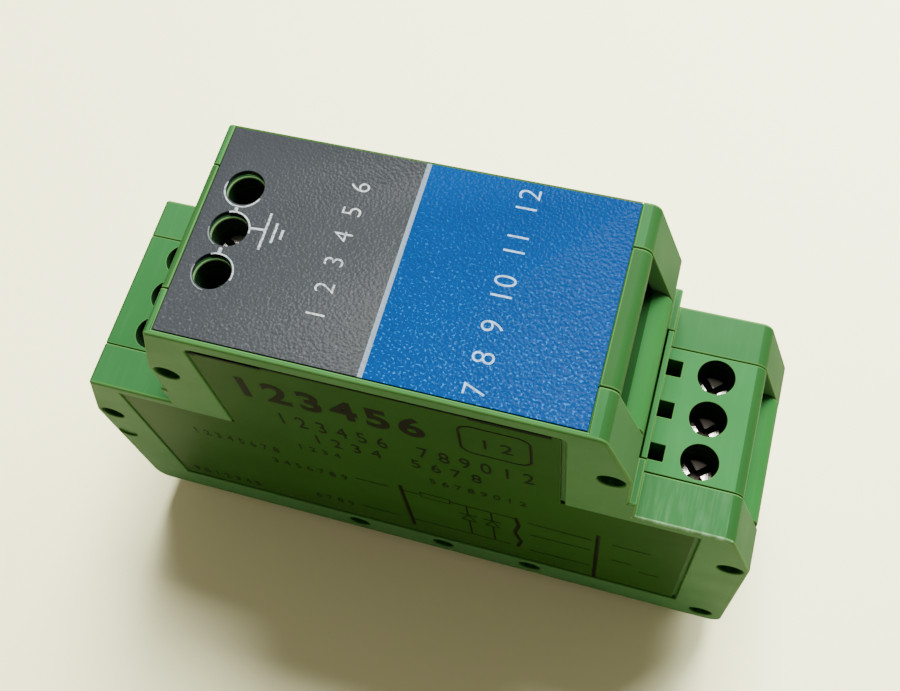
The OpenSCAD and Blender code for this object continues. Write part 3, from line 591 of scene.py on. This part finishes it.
# Ribbon tree: each path becomes a flat closed strip of ink.
ribbon_tree, ribbon = start_tree("ink_ribbon", {
    "Width": "Float", "Thickness": "Float", "Ink": "Material"})
line = add_node(ribbon_tree, "GeometryNodeMeshToCurve", {"Mesh": ribbon["Geometry"]})
level = add_node(ribbon_tree, "GeometryNodeSetCurveNormal", {
    "Curve": line.outputs[0]}, mode="Z_UP")
strip_section = add_node(ribbon_tree, "GeometryNodeCurvePrimitiveQuadrilateral", {
    "Width": ribbon["Width"], "Height": ribbon["Thickness"]})
strip = add_node(ribbon_tree, "GeometryNodeCurveToMesh", {
    "Curve": level.outputs[0], "Profile Curve": strip_section.outputs[0], "Fill Caps": True})
end_tree(ribbon_tree, strip.outputs[0], ribbon["Ink"])


def arc_points(x, y, radius, start, end, steps=36):
    """Points of an arc, in mm and degrees."""
    return [(x + radius * math.cos(math.radians(start + (end - start) * i / steps)),
             y + radius * math.sin(math.radians(start + (end - start) * i / steps)))
            for i in range(steps + 1)]


# The rings were printed a little off the holes, so each hole has punched away a part of its own.
HOLE_X, HOLE_Y, HOLE_PITCH = -18.7, 0.45, 5.0
ring_paths = [
    arc_points(HOLE_X, HOLE_Y + HOLE_PITCH - 0.25, 2.1, 165, 340),
    arc_points(HOLE_X + 0.1, HOLE_Y - 0.1, 2.1, 0, 110),
    arc_points(HOLE_X + 0.12, HOLE_Y - HOLE_PITCH - 0.1, 2.1, -15, 115)]
faint_paths = [
    arc_points(HOLE_X, HOLE_Y - 0.2, 2.08, 180, 245),
    arc_points(HOLE_X, HOLE_Y - HOLE_PITCH - 0.2, 2.08, 165, 265)]
bar_paths = [
    [(HOLE_X - 0.05, HOLE_Y + 2.15), (HOLE_X - 0.05, HOLE_Y + 2.65)],
    [(HOLE_X, HOLE_Y - 2.3), (HOLE_X, HOLE_Y - 2.85)]]
earth_paths = [
    [(HOLE_X + 2.2, 0.95), (-14.8, 1.1)],
    [(-14.9, -1.2), (-14.9, 3.1)],
    [(-13.9, -0.2), (-13.9, 2.15)],
    [(-13.1, 0.4), (-13.1, 1.5)]]
for name, paths, width in (
        ("label_rings", ring_paths, 0.18), ("label_faint_rings", faint_paths, 0.14),
        ("label_ring_bars", bar_paths, 0.4), ("label_earth_symbol", earth_paths, 0.28)):
    ink = grow(name, ribbon_tree, paths_mesh(name, paths), {
        "Width": width * MM, "Thickness": INK_T,
        "Ink": rubbed_ink if name == "label_faint_rings" else white_ink})
    ink.transform(Matrix.Translation((0, 0, pocket_high.z + INK_T / 2)))
    new_piece(name, ink, "housing", "label_film")


FIGURE_MERGE = 0.001 * MM


def numbers_mesh(name, text, cap, digit_w, pitch, weight, material):
    """Figures in a row, centred on the origin, with cap height, width and pitch in mm.

    The weight is how far their outlines are pushed out, in the font's own units.
    """
    glyphs = {}
    for character in set(text) - {" "}:
        curve = bpy.data.curves.new(name, "FONT")
        curve.body = character
        # One unit thick in all, so that scaling by the ink's thickness gives just that.
        curve.extrude = 0.5
        curve.offset = weight
        worker = bpy.data.objects.new(name + "_worker", curve)
        bpy.context.scene.collection.objects.link(worker)
        glyphs[character] = bpy.data.meshes.new_from_object(
            worker.evaluated_get(bpy.context.evaluated_depsgraph_get()))
        bpy.data.objects.remove(worker)
    tall = max(v.co.y for mesh in glyphs.values() for v in mesh.vertices)
    wide = max(max(v.co.x for v in mesh.vertices) - min(v.co.x for v in mesh.vertices)
               for mesh in glyphs.values())
    work = bmesh.new()
    for place, character in enumerate(text):
        if character == " ":
            continue
        glyph = glyphs[character].copy()
        middle = (max(v.co.x for v in glyph.vertices) + min(v.co.x for v in glyph.vertices)) / 2
        glyph.transform(Matrix.Translation((-middle, -tall / 2, 0)))
        glyph.transform(Matrix.Diagonal((digit_w * MM / wide, cap * MM / tall, INK_T, 1)))
        glyph.transform(Matrix.Translation(((place - (len(text) - 1) / 2) * pitch * MM, 0, 0)))
        work.from_mesh(glyph)
    bmesh.ops.remove_doubles(work, verts=work.verts, dist=FIGURE_MERGE)
    mesh = bpy.data.meshes.new(name)
    work.to_mesh(mesh)
    work.free()
    mesh.materials.append(material)
    return mesh


LABEL_WEIGHT = -0.012
# Each row: name, figures, ink, cap height, figure width, pitch, place of its middle in x and y.
for name, text, ink, cap, digit_w, pitch, x, y in (
        ("label_numbers_grey", "1 2 3 4 5 6", white_ink, 2.0, 1.15, 1.48, -6.9, 0.7),
        ("label_numbers_blue", "7 8 9 10 11 12", sky_ink, 2.2, 1.2, 1.66, 10.15, 0.2)):
    numbers = numbers_mesh(name, text, cap, digit_w, pitch, LABEL_WEIGHT, ink)
    numbers.transform(Matrix.Rotation(math.radians(90), 4, "Z"))
    numbers.transform(Matrix.Translation((x * MM, y * MM, pocket_high.z + INK_T / 2)))
    new_piece(name, numbers, "housing", "label_film")


# Side plate and its print
# A thin plate of darker green film, glued in the near cheek's panel. Its print is a dark ink:
# rows of plain numbers, and a simple line drawing of a two-channel barrier circuit.

def printed_plate(name, light, deep, roughness):
    """Smooth printed film with faint long clouds from its ink."""
    material, tree, shader, place = start_material(name, {
        "IOR": 1.5, "Specular IOR Level": 0.02})
    cloud = add_node(tree, "ShaderNodeTexNoise", {
        "Vector": place, "Scale": 1 / (10 * MM), "Detail": 4})
    grain = add_node(tree, "ShaderNodeTexNoise", {
        "Vector": place, "Scale": 1 / (0.4 * MM), "Detail": 2})
    share = add_node(tree, "ShaderNodeMath", {
        0: grain.outputs[0], 1: 0.3, 2: cloud.outputs[0]}, operation="MULTIPLY_ADD")
    colour = add_node(tree, "ShaderNodeMix", {
        0: share.outputs[0], 6: linear(light), 7: linear(deep)}, data_type="RGBA")
    join(tree, colour.outputs[2], shader, "Base Color")
    gloss = add_node(tree, "ShaderNodeMapRange", {
        "Value": cloud.outputs[0], "To Min": roughness - 0.06, "To Max": roughness + 0.06})
    join(tree, gloss.outputs[0], shader, "Roughness")
    bump = add_node(tree, "ShaderNodeBump", {
        "Height": grain.outputs[0], "Distance": 0.004 * MM, "Strength": 0.5})
    join(tree, bump.outputs[0], shader, "Normal")
    return material


plate_green = printed_plate("printed_film_green", "#1c4010", "#17360c", 0.45)
plate_edge = printed_plate("printed_film_edge", "#25481a", "#1f3f13", 0.45)
dark_ink = printed_plate("screened_ink_dark", "#0d0e06", "#090a04", 0.5)
# A near-black for the painted shadow along the plate's upper edge.
shadow_line_ink = printed_plate("painted_shadow_line_ink", "#061003", "#040b02", 0.6)
new_piece("side_plate", rounded_mesh("side_label", 0.08, [plate_green, plate_edge]),
          "housing", "side_film", "side_label")

plate_low, plate_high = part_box("side_label")
TOP_Z = 62.5


def on_plate(mesh):
    """Stands flat print up on the near plate; x stays, and y was given as minus the drop."""
    mesh.transform(Matrix.Rotation(math.radians(90), 4, "X"))
    mesh.transform(Matrix.Translation((0, plate_low.y - INK_T / 2, TOP_Z * MM)))
    return mesh


# Each row: name, figures, cap height, figure width, pitch, weight, its middle in x and drop.
for name, text, cap, digit_w, pitch, weight, x, drop in (
        ("plate_numbers_large", "123456", 5.2, 3.0, 3.65, 0.03, -5.6, 9.2),
        ("plate_numbers_second", "123456 789012", 3.2, 1.25, 2.3, 0.0, 1.7, 16.9),
        ("plate_numbers_third", "1234 5678", 2.7, 1.2, 2.3, 0.0, 0.4, 21.4),
        ("plate_numbers_small_1", "1234", 1.6, 0.8, 1.5, 0.0, -9.5, 25.9),
        ("plate_numbers_small_2", "56789012", 1.6, 0.8, 1.5, 0.0, 9.4, 26.6),
        ("plate_numbers_small_3", "12345678", 1.8, 0.8, 1.5, 0.0, -21.0, 30.0),
        ("plate_numbers_small_4", "3456789", 1.8, 0.8, 1.5, 0.0, -12.3, 34.4),
        ("plate_numbers_small_5", "9012345", 1.8, 0.8, 1.5, 0.0, -27.0, 48.5),
        ("plate_numbers_small_6", "6789", 1.8, 0.8, 1.5, 0.0, -11.0, 45.9),
        ("plate_numbers_frame", "12", 2.6, 1.3, 2.2, 0.0, 12.3, 9.2)):
    numbers = numbers_mesh(name, text, cap, digit_w, pitch, weight, dark_ink)
    numbers.transform(Matrix.Translation((x * MM, -drop * MM, 0)))
    new_piece(name, on_plate(numbers), "housing", "side_film")

# The plain frame. Each row is one of its round corners: the arc's middle and starting angle.
CORNER_R, CORNER_STEPS = 1.6, 8
frame_path = []
for x, y, start in ((14.3, -6.6, 90), (14.3, -11.2, 0), (10.2, -11.2, -90), (10.2, -6.6, 180)):
    frame_path += arc_points(x, y, CORNER_R, start, start - 90, CORNER_STEPS)
frame_path.append(frame_path[0])
# The drawing: heavy rails, then the lines of a fuse, two diodes and marks for the wires.
heavy_paths = [
    [(-0.4, -31.6), (-0.4, -48.4)],
    [(23.3, -31.6), (23.3, -52.0)],
    [(13.6, -33.0), (13.9, -36.0), (13.3, -39.5), (14.0, -43.0), (13.5, -46.0)]]
light_paths = [
    [(-0.4, -33.4), (2.0, -33.4)], [(5.6, -33.4), (13.6, -33.4)],
    [(15.0, -33.9), (22.6, -34.2)], [(15.2, -38.9), (22.6, -38.7)],
    [(15.0, -46.2), (22.7, -46.0)], [(-0.4, -45.6), (12.6, -45.6)],
    [(2.0, -32.5), (5.6, -32.5), (5.6, -34.3), (2.0, -34.3), (2.0, -32.5)],
    [(7.6, -33.4), (7.6, -37.0)], [(7.6, -39.4), (7.6, -45.6)],
    [(6.7, -39.4), (8.5, -39.4), (7.6, -37.2), (6.7, -39.4)], [(6.5, -37.0), (8.7, -37.0)],
    [(10.6, -33.4), (10.6, -37.0)], [(10.6, -39.4), (10.6, -45.6)],
    [(9.7, -39.4), (11.5, -39.4), (10.6, -37.2), (9.7, -39.4)], [(9.5, -37.0), (11.7, -37.0)],
    [(25.0, -34.1), (29.5, -34.1)], [(25.2, -40.7), (27.6, -40.7)], [(28.6, -43.2), (31.0, -43.2)],
    [(-6.2, -33.4), (-2.0, -33.4)], [(-7.2, -45.6), (-2.0, -45.6)]]
# A dark line painted along the plate's upper edge stands for the shadow under the rim above it: a
# painted shadow. It is thicker at its two ends.
top_x = [v.co.x / MM for v in nodes["side_label"].data.vertices if v.co.z > plate_high.z - MM]
left, right = min(top_x), max(top_x)
shadow_line_y = plate_high.z / MM - TOP_Z - 0.25
shadow_line_paths = [[(left + 0.9, shadow_line_y), (right - 0.9, shadow_line_y)]]
shadow_line_ends = [
    [(left + 0.25, shadow_line_y - 0.7), (left + 0.8, shadow_line_y - 0.22), (left + 8.0, shadow_line_y - 0.22)],
    [(right - 9.0, shadow_line_y - 0.15), (right - 0.9, shadow_line_y - 0.15)]]
for name, paths, width in (
        ("plate_shadow_line", shadow_line_paths, 0.46), ("plate_shadow_line_ends", shadow_line_ends, 0.85),
        ("plate_frame", [frame_path], 0.3), ("plate_drawing_heavy", heavy_paths, 0.5),
        ("plate_drawing_light", light_paths, 0.22)):
    ink = grow(name, ribbon_tree, paths_mesh(name, paths), {
        "Width": width * MM, "Thickness": INK_T,
        "Ink": shadow_line_ink if name.startswith("plate_shadow_line") else dark_ink})
    new_piece(name, on_plate(ink), "housing", "side_film")


# Terminal screws
# Steel screws, bright nickel plated. Each has a flat head with crossed slots at the bottom of
# its well, and a rolled thread that runs in the clamp below it.

SCRATCH_L_MM = 2


def plated_metal(name, light, deep, roughness, scratch_mm=0.06, scratch_deep=0.004):
    """Plated metal with fine turning scratches that spread its highlights."""
    material, tree, shader, place = start_material(name, {"Metallic": 1.0})
    cloud = add_node(tree, "ShaderNodeTexNoise", {
        "Vector": place, "Scale": 1 / (1.2 * MM), "Detail": 3})
    colour = add_node(tree, "ShaderNodeMix", {
        0: cloud.outputs[0], 6: linear(light), 7: linear(deep)}, data_type="RGBA")
    join(tree, colour.outputs[2], shader, "Base Color")
    gloss = add_node(tree, "ShaderNodeMapRange", {
        "Value": cloud.outputs[0], "To Min": roughness - 0.05, "To Max": roughness + 0.1})
    join(tree, gloss.outputs[0], shader, "Roughness")
    # Real turning marks are about 0.03 mm apart. They are drawn as coarse as they need to show.
    scratch_place = add_node(tree, "ShaderNodeMapping", {
        "Vector": place,
        "Scale": [1 / (length * MM) for length in (scratch_mm, SCRATCH_L_MM, SCRATCH_L_MM)]})
    scratches = add_node(tree, "ShaderNodeTexNoise", {
        "Vector": scratch_place.outputs[0], "Scale": 1.0, "Detail": 2})
    bump = add_node(tree, "ShaderNodeBump", {
        "Height": scratches.outputs[0], "Distance": scratch_deep * MM, "Strength": 0.6})
    join(tree, bump.outputs[0], shader, "Normal")
    return material


bright_nickel = plated_metal(
    "bright_nickel_plate", "#fdfcf8", "#f4f1ea", 0.34, scratch_mm=0.16, scratch_deep=0.03)
# A darker nickel for the slots and below the heads' tops: painted shade.
slot_painted_shade_nickel = plated_metal("nickel_with_painted_shade_in_slots", "#4a4640", "#35322d", 0.5)
thread_tree, thread = start_tree("rolled_thread", {
    "Radius": "Float", "Depth": "Float", "Turns": "Float", "Length": "Float", "Metal": "Material"})
spiral = add_node(thread_tree, "GeometryNodeCurveSpiral", {
    "Resolution": 24, "Rotations": thread["Turns"], "Start Radius": thread["Radius"],
    "End Radius": thread["Radius"], "Height": thread["Length"]})
crest = add_node(thread_tree, "GeometryNodeCurvePrimitiveCircle", {
    "Resolution": 3, "Radius": thread["Depth"]})
ridge = add_node(thread_tree, "GeometryNodeCurveToMesh", {
    "Curve": spiral.outputs[0], "Profile Curve": crest.outputs[0], "Fill Caps": True})
threads = add_node(thread_tree, "GeometryNodeInstanceOnPoints", {
    "Points": thread["Geometry"], "Instance": ridge.outputs[0]})
end_tree(thread_tree, threads.outputs[0], thread["Metal"])

SCREW_L = 4.4 * MM
SLOT_DARK_FROM = 0.4 * MM
MIDDLE_REACH = 2 * MM
SHANK_D, THREAD_L, THREAD_DEEP, THREAD_PITCH = 2.6, 2.4, 0.16, 0.5
THREAD_SUNK, THREAD_FROM = 0.1, 0.1 * MM


def slot_painter(middle_top, outer_top):
    """Picks the darker nickel, painted shade, for what lies below the tops of the middle and outer
    heads.
    """
    def choose(face, centre):
        top = middle_top if abs(centre.y) < MIDDLE_REACH else outer_top
        return 1 if centre.z < top - SLOT_DARK_FROM else 0
    return choose


for row in ("upper", "left", "right"):
    node = row + "_screws"
    low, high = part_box(node)
    centre_x = (low.x + high.x) / 2
    # The middle screw of a row may stand further out than the other two.
    backed_out = high.z - low.z - SCREW_L
    heads = rounded_mesh(node, 0.1, [bright_nickel, slot_painted_shade_nickel, bright_nickel])
    split_mesh(heads, 2, (), slot_painter(high.z, low.z + SCREW_L))
    new_piece(node + "_heads", heads, "housing", "zinc_steel", node)
    seeds = bpy.data.meshes.new(node)
    seeds.from_pydata([
        (centre_x, y * MM, low.z + THREAD_FROM + (0 if y else backed_out))
        for y in SCREW_Y], [], [])
    mesh = grow(node + "_threads", thread_tree, seeds, {
        "Radius": (SHANK_D / 2 - THREAD_SUNK) * MM, "Depth": THREAD_DEEP * MM,
        "Turns": THREAD_L / THREAD_PITCH, "Length": THREAD_L * MM, "Metal": bright_nickel})
    new_piece(node + "_threads", mesh, "housing", "zinc_steel")


# Clamps and contacts
# Steel cages, zinc plated, pressed and folded with a tapped top. The contacts through them
# are tinned brass strips with a solder pin.

zinc_plate = plated_metal("zinc_plate", "#c9cbc6", "#b3b5ae", 0.34)
tin_plate = plated_metal("tin_plate", "#d9d4c6", "#c4bfae", 0.3)
for row in ("upper", "left", "right"):
    for pole in (1, 2, 3):
        for kind, metal, slot in (
                ("clamp", zinc_plate, "zinc_steel"), ("contact", tin_plate, "tinned_brass")):
            node = f"{row}_{kind}_{pole}"
            new_piece(node + "_part", rounded_mesh(node, 0.08, [metal]), "housing", slot, node)


# Circuit boards
# Glass-epoxy boards under green solder mask, with a tinned ring at each hole and solder
# round each pin on the underside.

def glass_epoxy(name, light, deep):
    """Solder mask over glass cloth: glossy, with the weave of the cloth showing faintly."""
    material, tree, shader, place = start_material(name, {"Roughness": 0.28, "IOR": 1.55})
    # A wave of this scale repeats about every 0.9 mm, as the heavier threads of the cloth do.
    weave_x = add_node(tree, "ShaderNodeTexWave", {
        "Vector": place, "Scale": 1 / (2.8 * MM), "Distortion": 0.6}, bands_direction="X")
    weave_y = add_node(tree, "ShaderNodeTexWave", {
        "Vector": place, "Scale": 1 / (2.8 * MM), "Distortion": 0.6}, bands_direction="Y")
    weave = add_node(tree, "ShaderNodeMath", {
        0: weave_x.outputs[1], 1: weave_y.outputs[1]}, operation="MULTIPLY")
    colour = add_node(tree, "ShaderNodeMix", {
        0: weave.outputs[0], 6: linear(light), 7: linear(deep)}, data_type="RGBA")
    join(tree, colour.outputs[2], shader, "Base Color")
    bump = add_node(tree, "ShaderNodeBump", {
        "Height": weave.outputs[0], "Distance": 0.01 * MM, "Strength": 0.4})
    join(tree, bump.outputs[0], shader, "Normal")
    return material


BOARD_RIM, HOLE_REACH = 0.1 * MM, 1.7 * MM


def hole_centres(node):
    """Middles of the round holes in a board, from the rims of its own upper face."""
    low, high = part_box(node)
    rims = []
    for vertex in nodes[node].data.vertices:
        spot = vertex.co
        to_edge = min(spot.x - low.x, high.x - spot.x, spot.y - low.y, high.y - spot.y)
        if spot.z < high.z - SLACK or to_edge < BOARD_RIM:
            continue
        for rim in rims:
            if (rim[0] - spot).length < HOLE_REACH:
                rim.append(spot.copy())
                break
        else:
            rims.append([spot.copy()])
    return [[(min(spot[axis] for spot in rim) + max(spot[axis] for spot in rim)) / 2
             for axis in (0, 1)] for rim in rims]


solder_mask = glass_epoxy("solder_mask_on_glass_epoxy", "#1c6b3c", "#185f34")
solder = plated_metal("solder_fillet", "#cfcfca", "#b9b9b4", 0.24)

ring_tree, pads = start_tree("hole_rings", {
    "Radius": "Float", "Width": "Float", "Thickness": "Float", "Metal": "Material"})
loop = add_node(ring_tree, "GeometryNodeCurvePrimitiveCircle", {
    "Resolution": 24, "Radius": pads["Radius"]})
land = add_node(ring_tree, "GeometryNodeCurvePrimitiveQuadrilateral", {
    "Width": pads["Width"], "Height": pads["Thickness"]})
pad = add_node(ring_tree, "GeometryNodeCurveToMesh", {
    "Curve": loop.outputs[0], "Profile Curve": land.outputs[0]})
all_pads = add_node(ring_tree, "GeometryNodeInstanceOnPoints", {
    "Points": pads["Geometry"], "Instance": pad.outputs[0]})
end_tree(ring_tree, all_pads.outputs[0], pads["Metal"])

fillet_tree, joints = start_tree("solder_fillets", {
    "Foot": "Float", "Tip": "Float", "Height": "Float", "Metal": "Material"})
cone = add_node(fillet_tree, "GeometryNodeMeshCone", {
    "Vertices": 20, "Side Segments": 3, "Radius Top": joints["Tip"],
    "Radius Bottom": joints["Foot"], "Depth": joints["Height"]})
hanging = add_node(fillet_tree, "GeometryNodeTransform", {
    "Geometry": cone.outputs[0], "Rotation": (math.pi, 0, 0)})
all_joints = add_node(fillet_tree, "GeometryNodeInstanceOnPoints", {
    "Points": joints["Geometry"], "Instance": hanging.outputs[0]})
end_tree(fillet_tree, all_joints.outputs[0], joints["Metal"])

# Sizes of the tinned rings and of the solder cones under them, in metres.
RING_SIZES = {"Radius": 1.0 * MM, "Width": 0.45 * MM, "Thickness": 0.05 * MM, "Metal": solder}
FILLET_SIZES = {"Foot": 1.05 * MM, "Tip": 0.55 * MM, "Height": 0.9 * MM, "Metal": solder}
for node in ("upper_board", "lower_board"):
    new_piece(node + "_laminate", rounded_mesh(node, 0.05, [solder_mask]),
              "housing", "circuit_board", node)
    low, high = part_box(node)
    holes = hole_centres(node)
    for ending, tree, levels, sizes in (
            ("_rings", ring_tree, (low.z, high.z), RING_SIZES),
            ("_solder", fillet_tree, (low.z,), FILLET_SIZES)):
        seeds = bpy.data.meshes.new(node)
        seeds.from_pydata([(x, y, z) for x, y in holes for z in levels], [], [])
        mesh = grow(node + ending, tree, seeds, sizes)
        new_piece(node + ending, mesh, "housing", "circuit_board")


# Link pins and earth bar
# Square tinned pins join the two boards, and a bent copper bar ties the three upper contacts
# to earth.

copper = plated_metal("rolled_copper", "#d08a5e", "#b97449", 0.28)
new_piece("board_link_pins_part", rounded_mesh("board_link_pins", 0.06, [tin_plate]),
          "housing", "tinned_brass", "board_link_pins")
new_piece("earth_link_bar_part", rounded_mesh("earth_link_bar", 0.08, [copper]),
          "housing", "copper_bar", "earth_link_bar")


# Diodes, resistors and fuses
# Bought parts with axial leads, bent and soldered into the boards: epoxy diodes with a pale
# cathode band, lacquered resistors with colour bands, and ceramic fuses with plated caps.

def dipped_coat(name, light, deep, roughness, grain_mm):
    """A dipped or fired coat with a slightly uneven surface."""
    material, tree, shader, place = start_material(name, {"Roughness": roughness, "IOR": 1.5})
    cloud = add_node(tree, "ShaderNodeTexNoise", {
        "Vector": place, "Scale": 1 / (grain_mm * MM), "Detail": 4})
    colour = add_node(tree, "ShaderNodeMix", {
        0: cloud.outputs[0], 6: linear(light), 7: linear(deep)}, data_type="RGBA")
    join(tree, colour.outputs[2], shader, "Base Color")
    bump = add_node(tree, "ShaderNodeBump", {
        "Height": cloud.outputs[0], "Distance": 0.02 * MM, "Strength": 0.5})
    join(tree, bump.outputs[0], shader, "Normal")
    return material


lead_wire = plated_metal("tinned_lead_wire", "#cdc9bf", "#bab5a9", 0.32)
black_epoxy = dipped_coat("black_epoxy", "#1b1b1d", "#131315", 0.38, 1.5)
pale_band = dipped_coat("pale_band_paint", "#c9c7bf", "#bdbab1", 0.45, 1.0)
beige_lacquer = dipped_coat("beige_lacquer", "#b99f70", "#ab9163", 0.34, 1.2)
band_red = dipped_coat("band_paint_red", "#a3261d", "#8f2019", 0.4, 1.0)
band_violet = dipped_coat("band_paint_violet", "#4f3a78", "#44326a", 0.4, 1.0)
band_brown = dipped_coat("band_paint_brown", "#5b3a22", "#4e311c", 0.4, 1.0)
band_gold = plated_metal("band_paint_gold", "#c9a04a", "#b58c3a", 0.4)
glazed_ceramic = dipped_coat("glazed_ceramic", "#e4dfd2", "#d8d2c3", 0.25, 2.0)
cap_plate = plated_metal("nickel_cap", "#d5d2ca", "#c2beb4", 0.24)


def axial_mesh(node, half_l, paints, bands):
    """A CAD part with leads: paints are lead and body, bands are from, to and paint, in mm."""
    low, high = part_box(node)
    middle = (low.x + high.x) / 2
    materials = paints + [paint for _, _, paint in bands]
    mesh = rounded_mesh(node, 0.3, materials)
    cuts = [middle + place * MM for band in bands for place in band[:2]]

    def choose(face, centre):
        along = (centre.x - middle) / MM
        if abs(along) > half_l + 0.01:
            return 0
        for number, (start, end, _) in enumerate(bands):
            if start < along < end:
                return number + 2
        return 1
    return split_mesh(mesh, 0, cuts, choose)


for number in (1, 2, 3, 4):
    node = f"zener_diode_{number}"
    mesh = axial_mesh(node, 4.5, [lead_wire, black_epoxy], [(2.2, 3.4, pale_band)])
    new_piece(node + "_part", mesh, "housing", "diode_epoxy", node)
for number in (1, 2):
    node = f"resistor_{number}"
    mesh = axial_mesh(node, 4.5, [lead_wire, beige_lacquer], [
        (-3.2, -2.5, band_red), (-1.8, -1.1, band_violet), (-0.4, 0.3, band_brown),
        (2.2, 2.9, band_gold)])
    new_piece(node + "_part", mesh, "housing", "resistor_lacquer", node)
    node = f"fuse_{number}"
    mesh = axial_mesh(node, 5.0, [lead_wire, glazed_ceramic], [
        (-5.1, -3.4, cap_plate), (3.4, 5.1, cap_plate)])
    new_piece(node + "_part", mesh, "housing", "fuse_ceramic", node)


# Rail latch and its spring
# The latch is moulded in dark polyamide, and slides in the tray's guides to let the rail in.
# A steel compression spring between it and a post of the tray pushes it back.

latch_plastic = moulded_polyamide("moulded_polyamide_latch", "#2f3230", "#272a28", streaks=0.05)
latch_edge = moulded_polyamide("moulded_polyamide_latch_edge", "#434744", "#383b39")
new_piece("rail_latch_moulding", rounded_mesh("rail_latch", 0.15, [latch_plastic, latch_edge]),
          "latch", "latch_plastic", "rail_latch")

spring_steel = plated_metal("drawn_spring_steel", "#8f8f8d", "#777775", 0.3)
coil_tree, coil = start_tree("spring_coil", {
    "Radius": "Float", "Wire": "Float", "Turns": "Float", "Length": "Float", "Metal": "Material"})
helix = add_node(coil_tree, "GeometryNodeCurveSpiral", {
    "Resolution": 40, "Rotations": coil["Turns"], "Start Radius": coil["Radius"],
    "End Radius": coil["Radius"], "Height": coil["Length"]})
wire_section = add_node(coil_tree, "GeometryNodeCurvePrimitiveCircle", {
    "Resolution": 12, "Radius": coil["Wire"]})
wire = add_node(coil_tree, "GeometryNodeCurveToMesh", {
    "Curve": helix.outputs[0], "Profile Curve": wire_section.outputs[0], "Fill Caps": True})
smooth_wire = add_node(coil_tree, "GeometryNodeSetShadeSmooth", {"Geometry": wire.outputs[0]})
lying = add_node(coil_tree, "GeometryNodeTransform", {
    "Geometry": smooth_wire.outputs[0], "Rotation": (0, math.pi / 2, 0)})
end_tree(coil_tree, lying.outputs[0], coil["Metal"])

WIRE_D, SPRING_TURNS = 0.45, 6
low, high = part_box("latch_spring")
seed = bpy.data.meshes.new("latch_spring")
seed.from_pydata([(0, 0, 0)], [], [])
spring_mesh = grow("latch_spring_coil", coil_tree, seed, {
    "Radius": (high.z - low.z - WIRE_D * MM) / 2, "Wire": WIRE_D * MM / 2, "Turns": SPRING_TURNS,
    "Length": high.x - low.x - WIRE_D * MM, "Metal": spring_steel})
spring_mesh.transform(Matrix.Translation((low.x + WIRE_D * MM / 2, 0, (low.z + high.z) / 2)))
spring = new_piece("latch_spring_coil", spring_mesh, "housing", "spring_steel", "latch_spring")
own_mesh(spring)
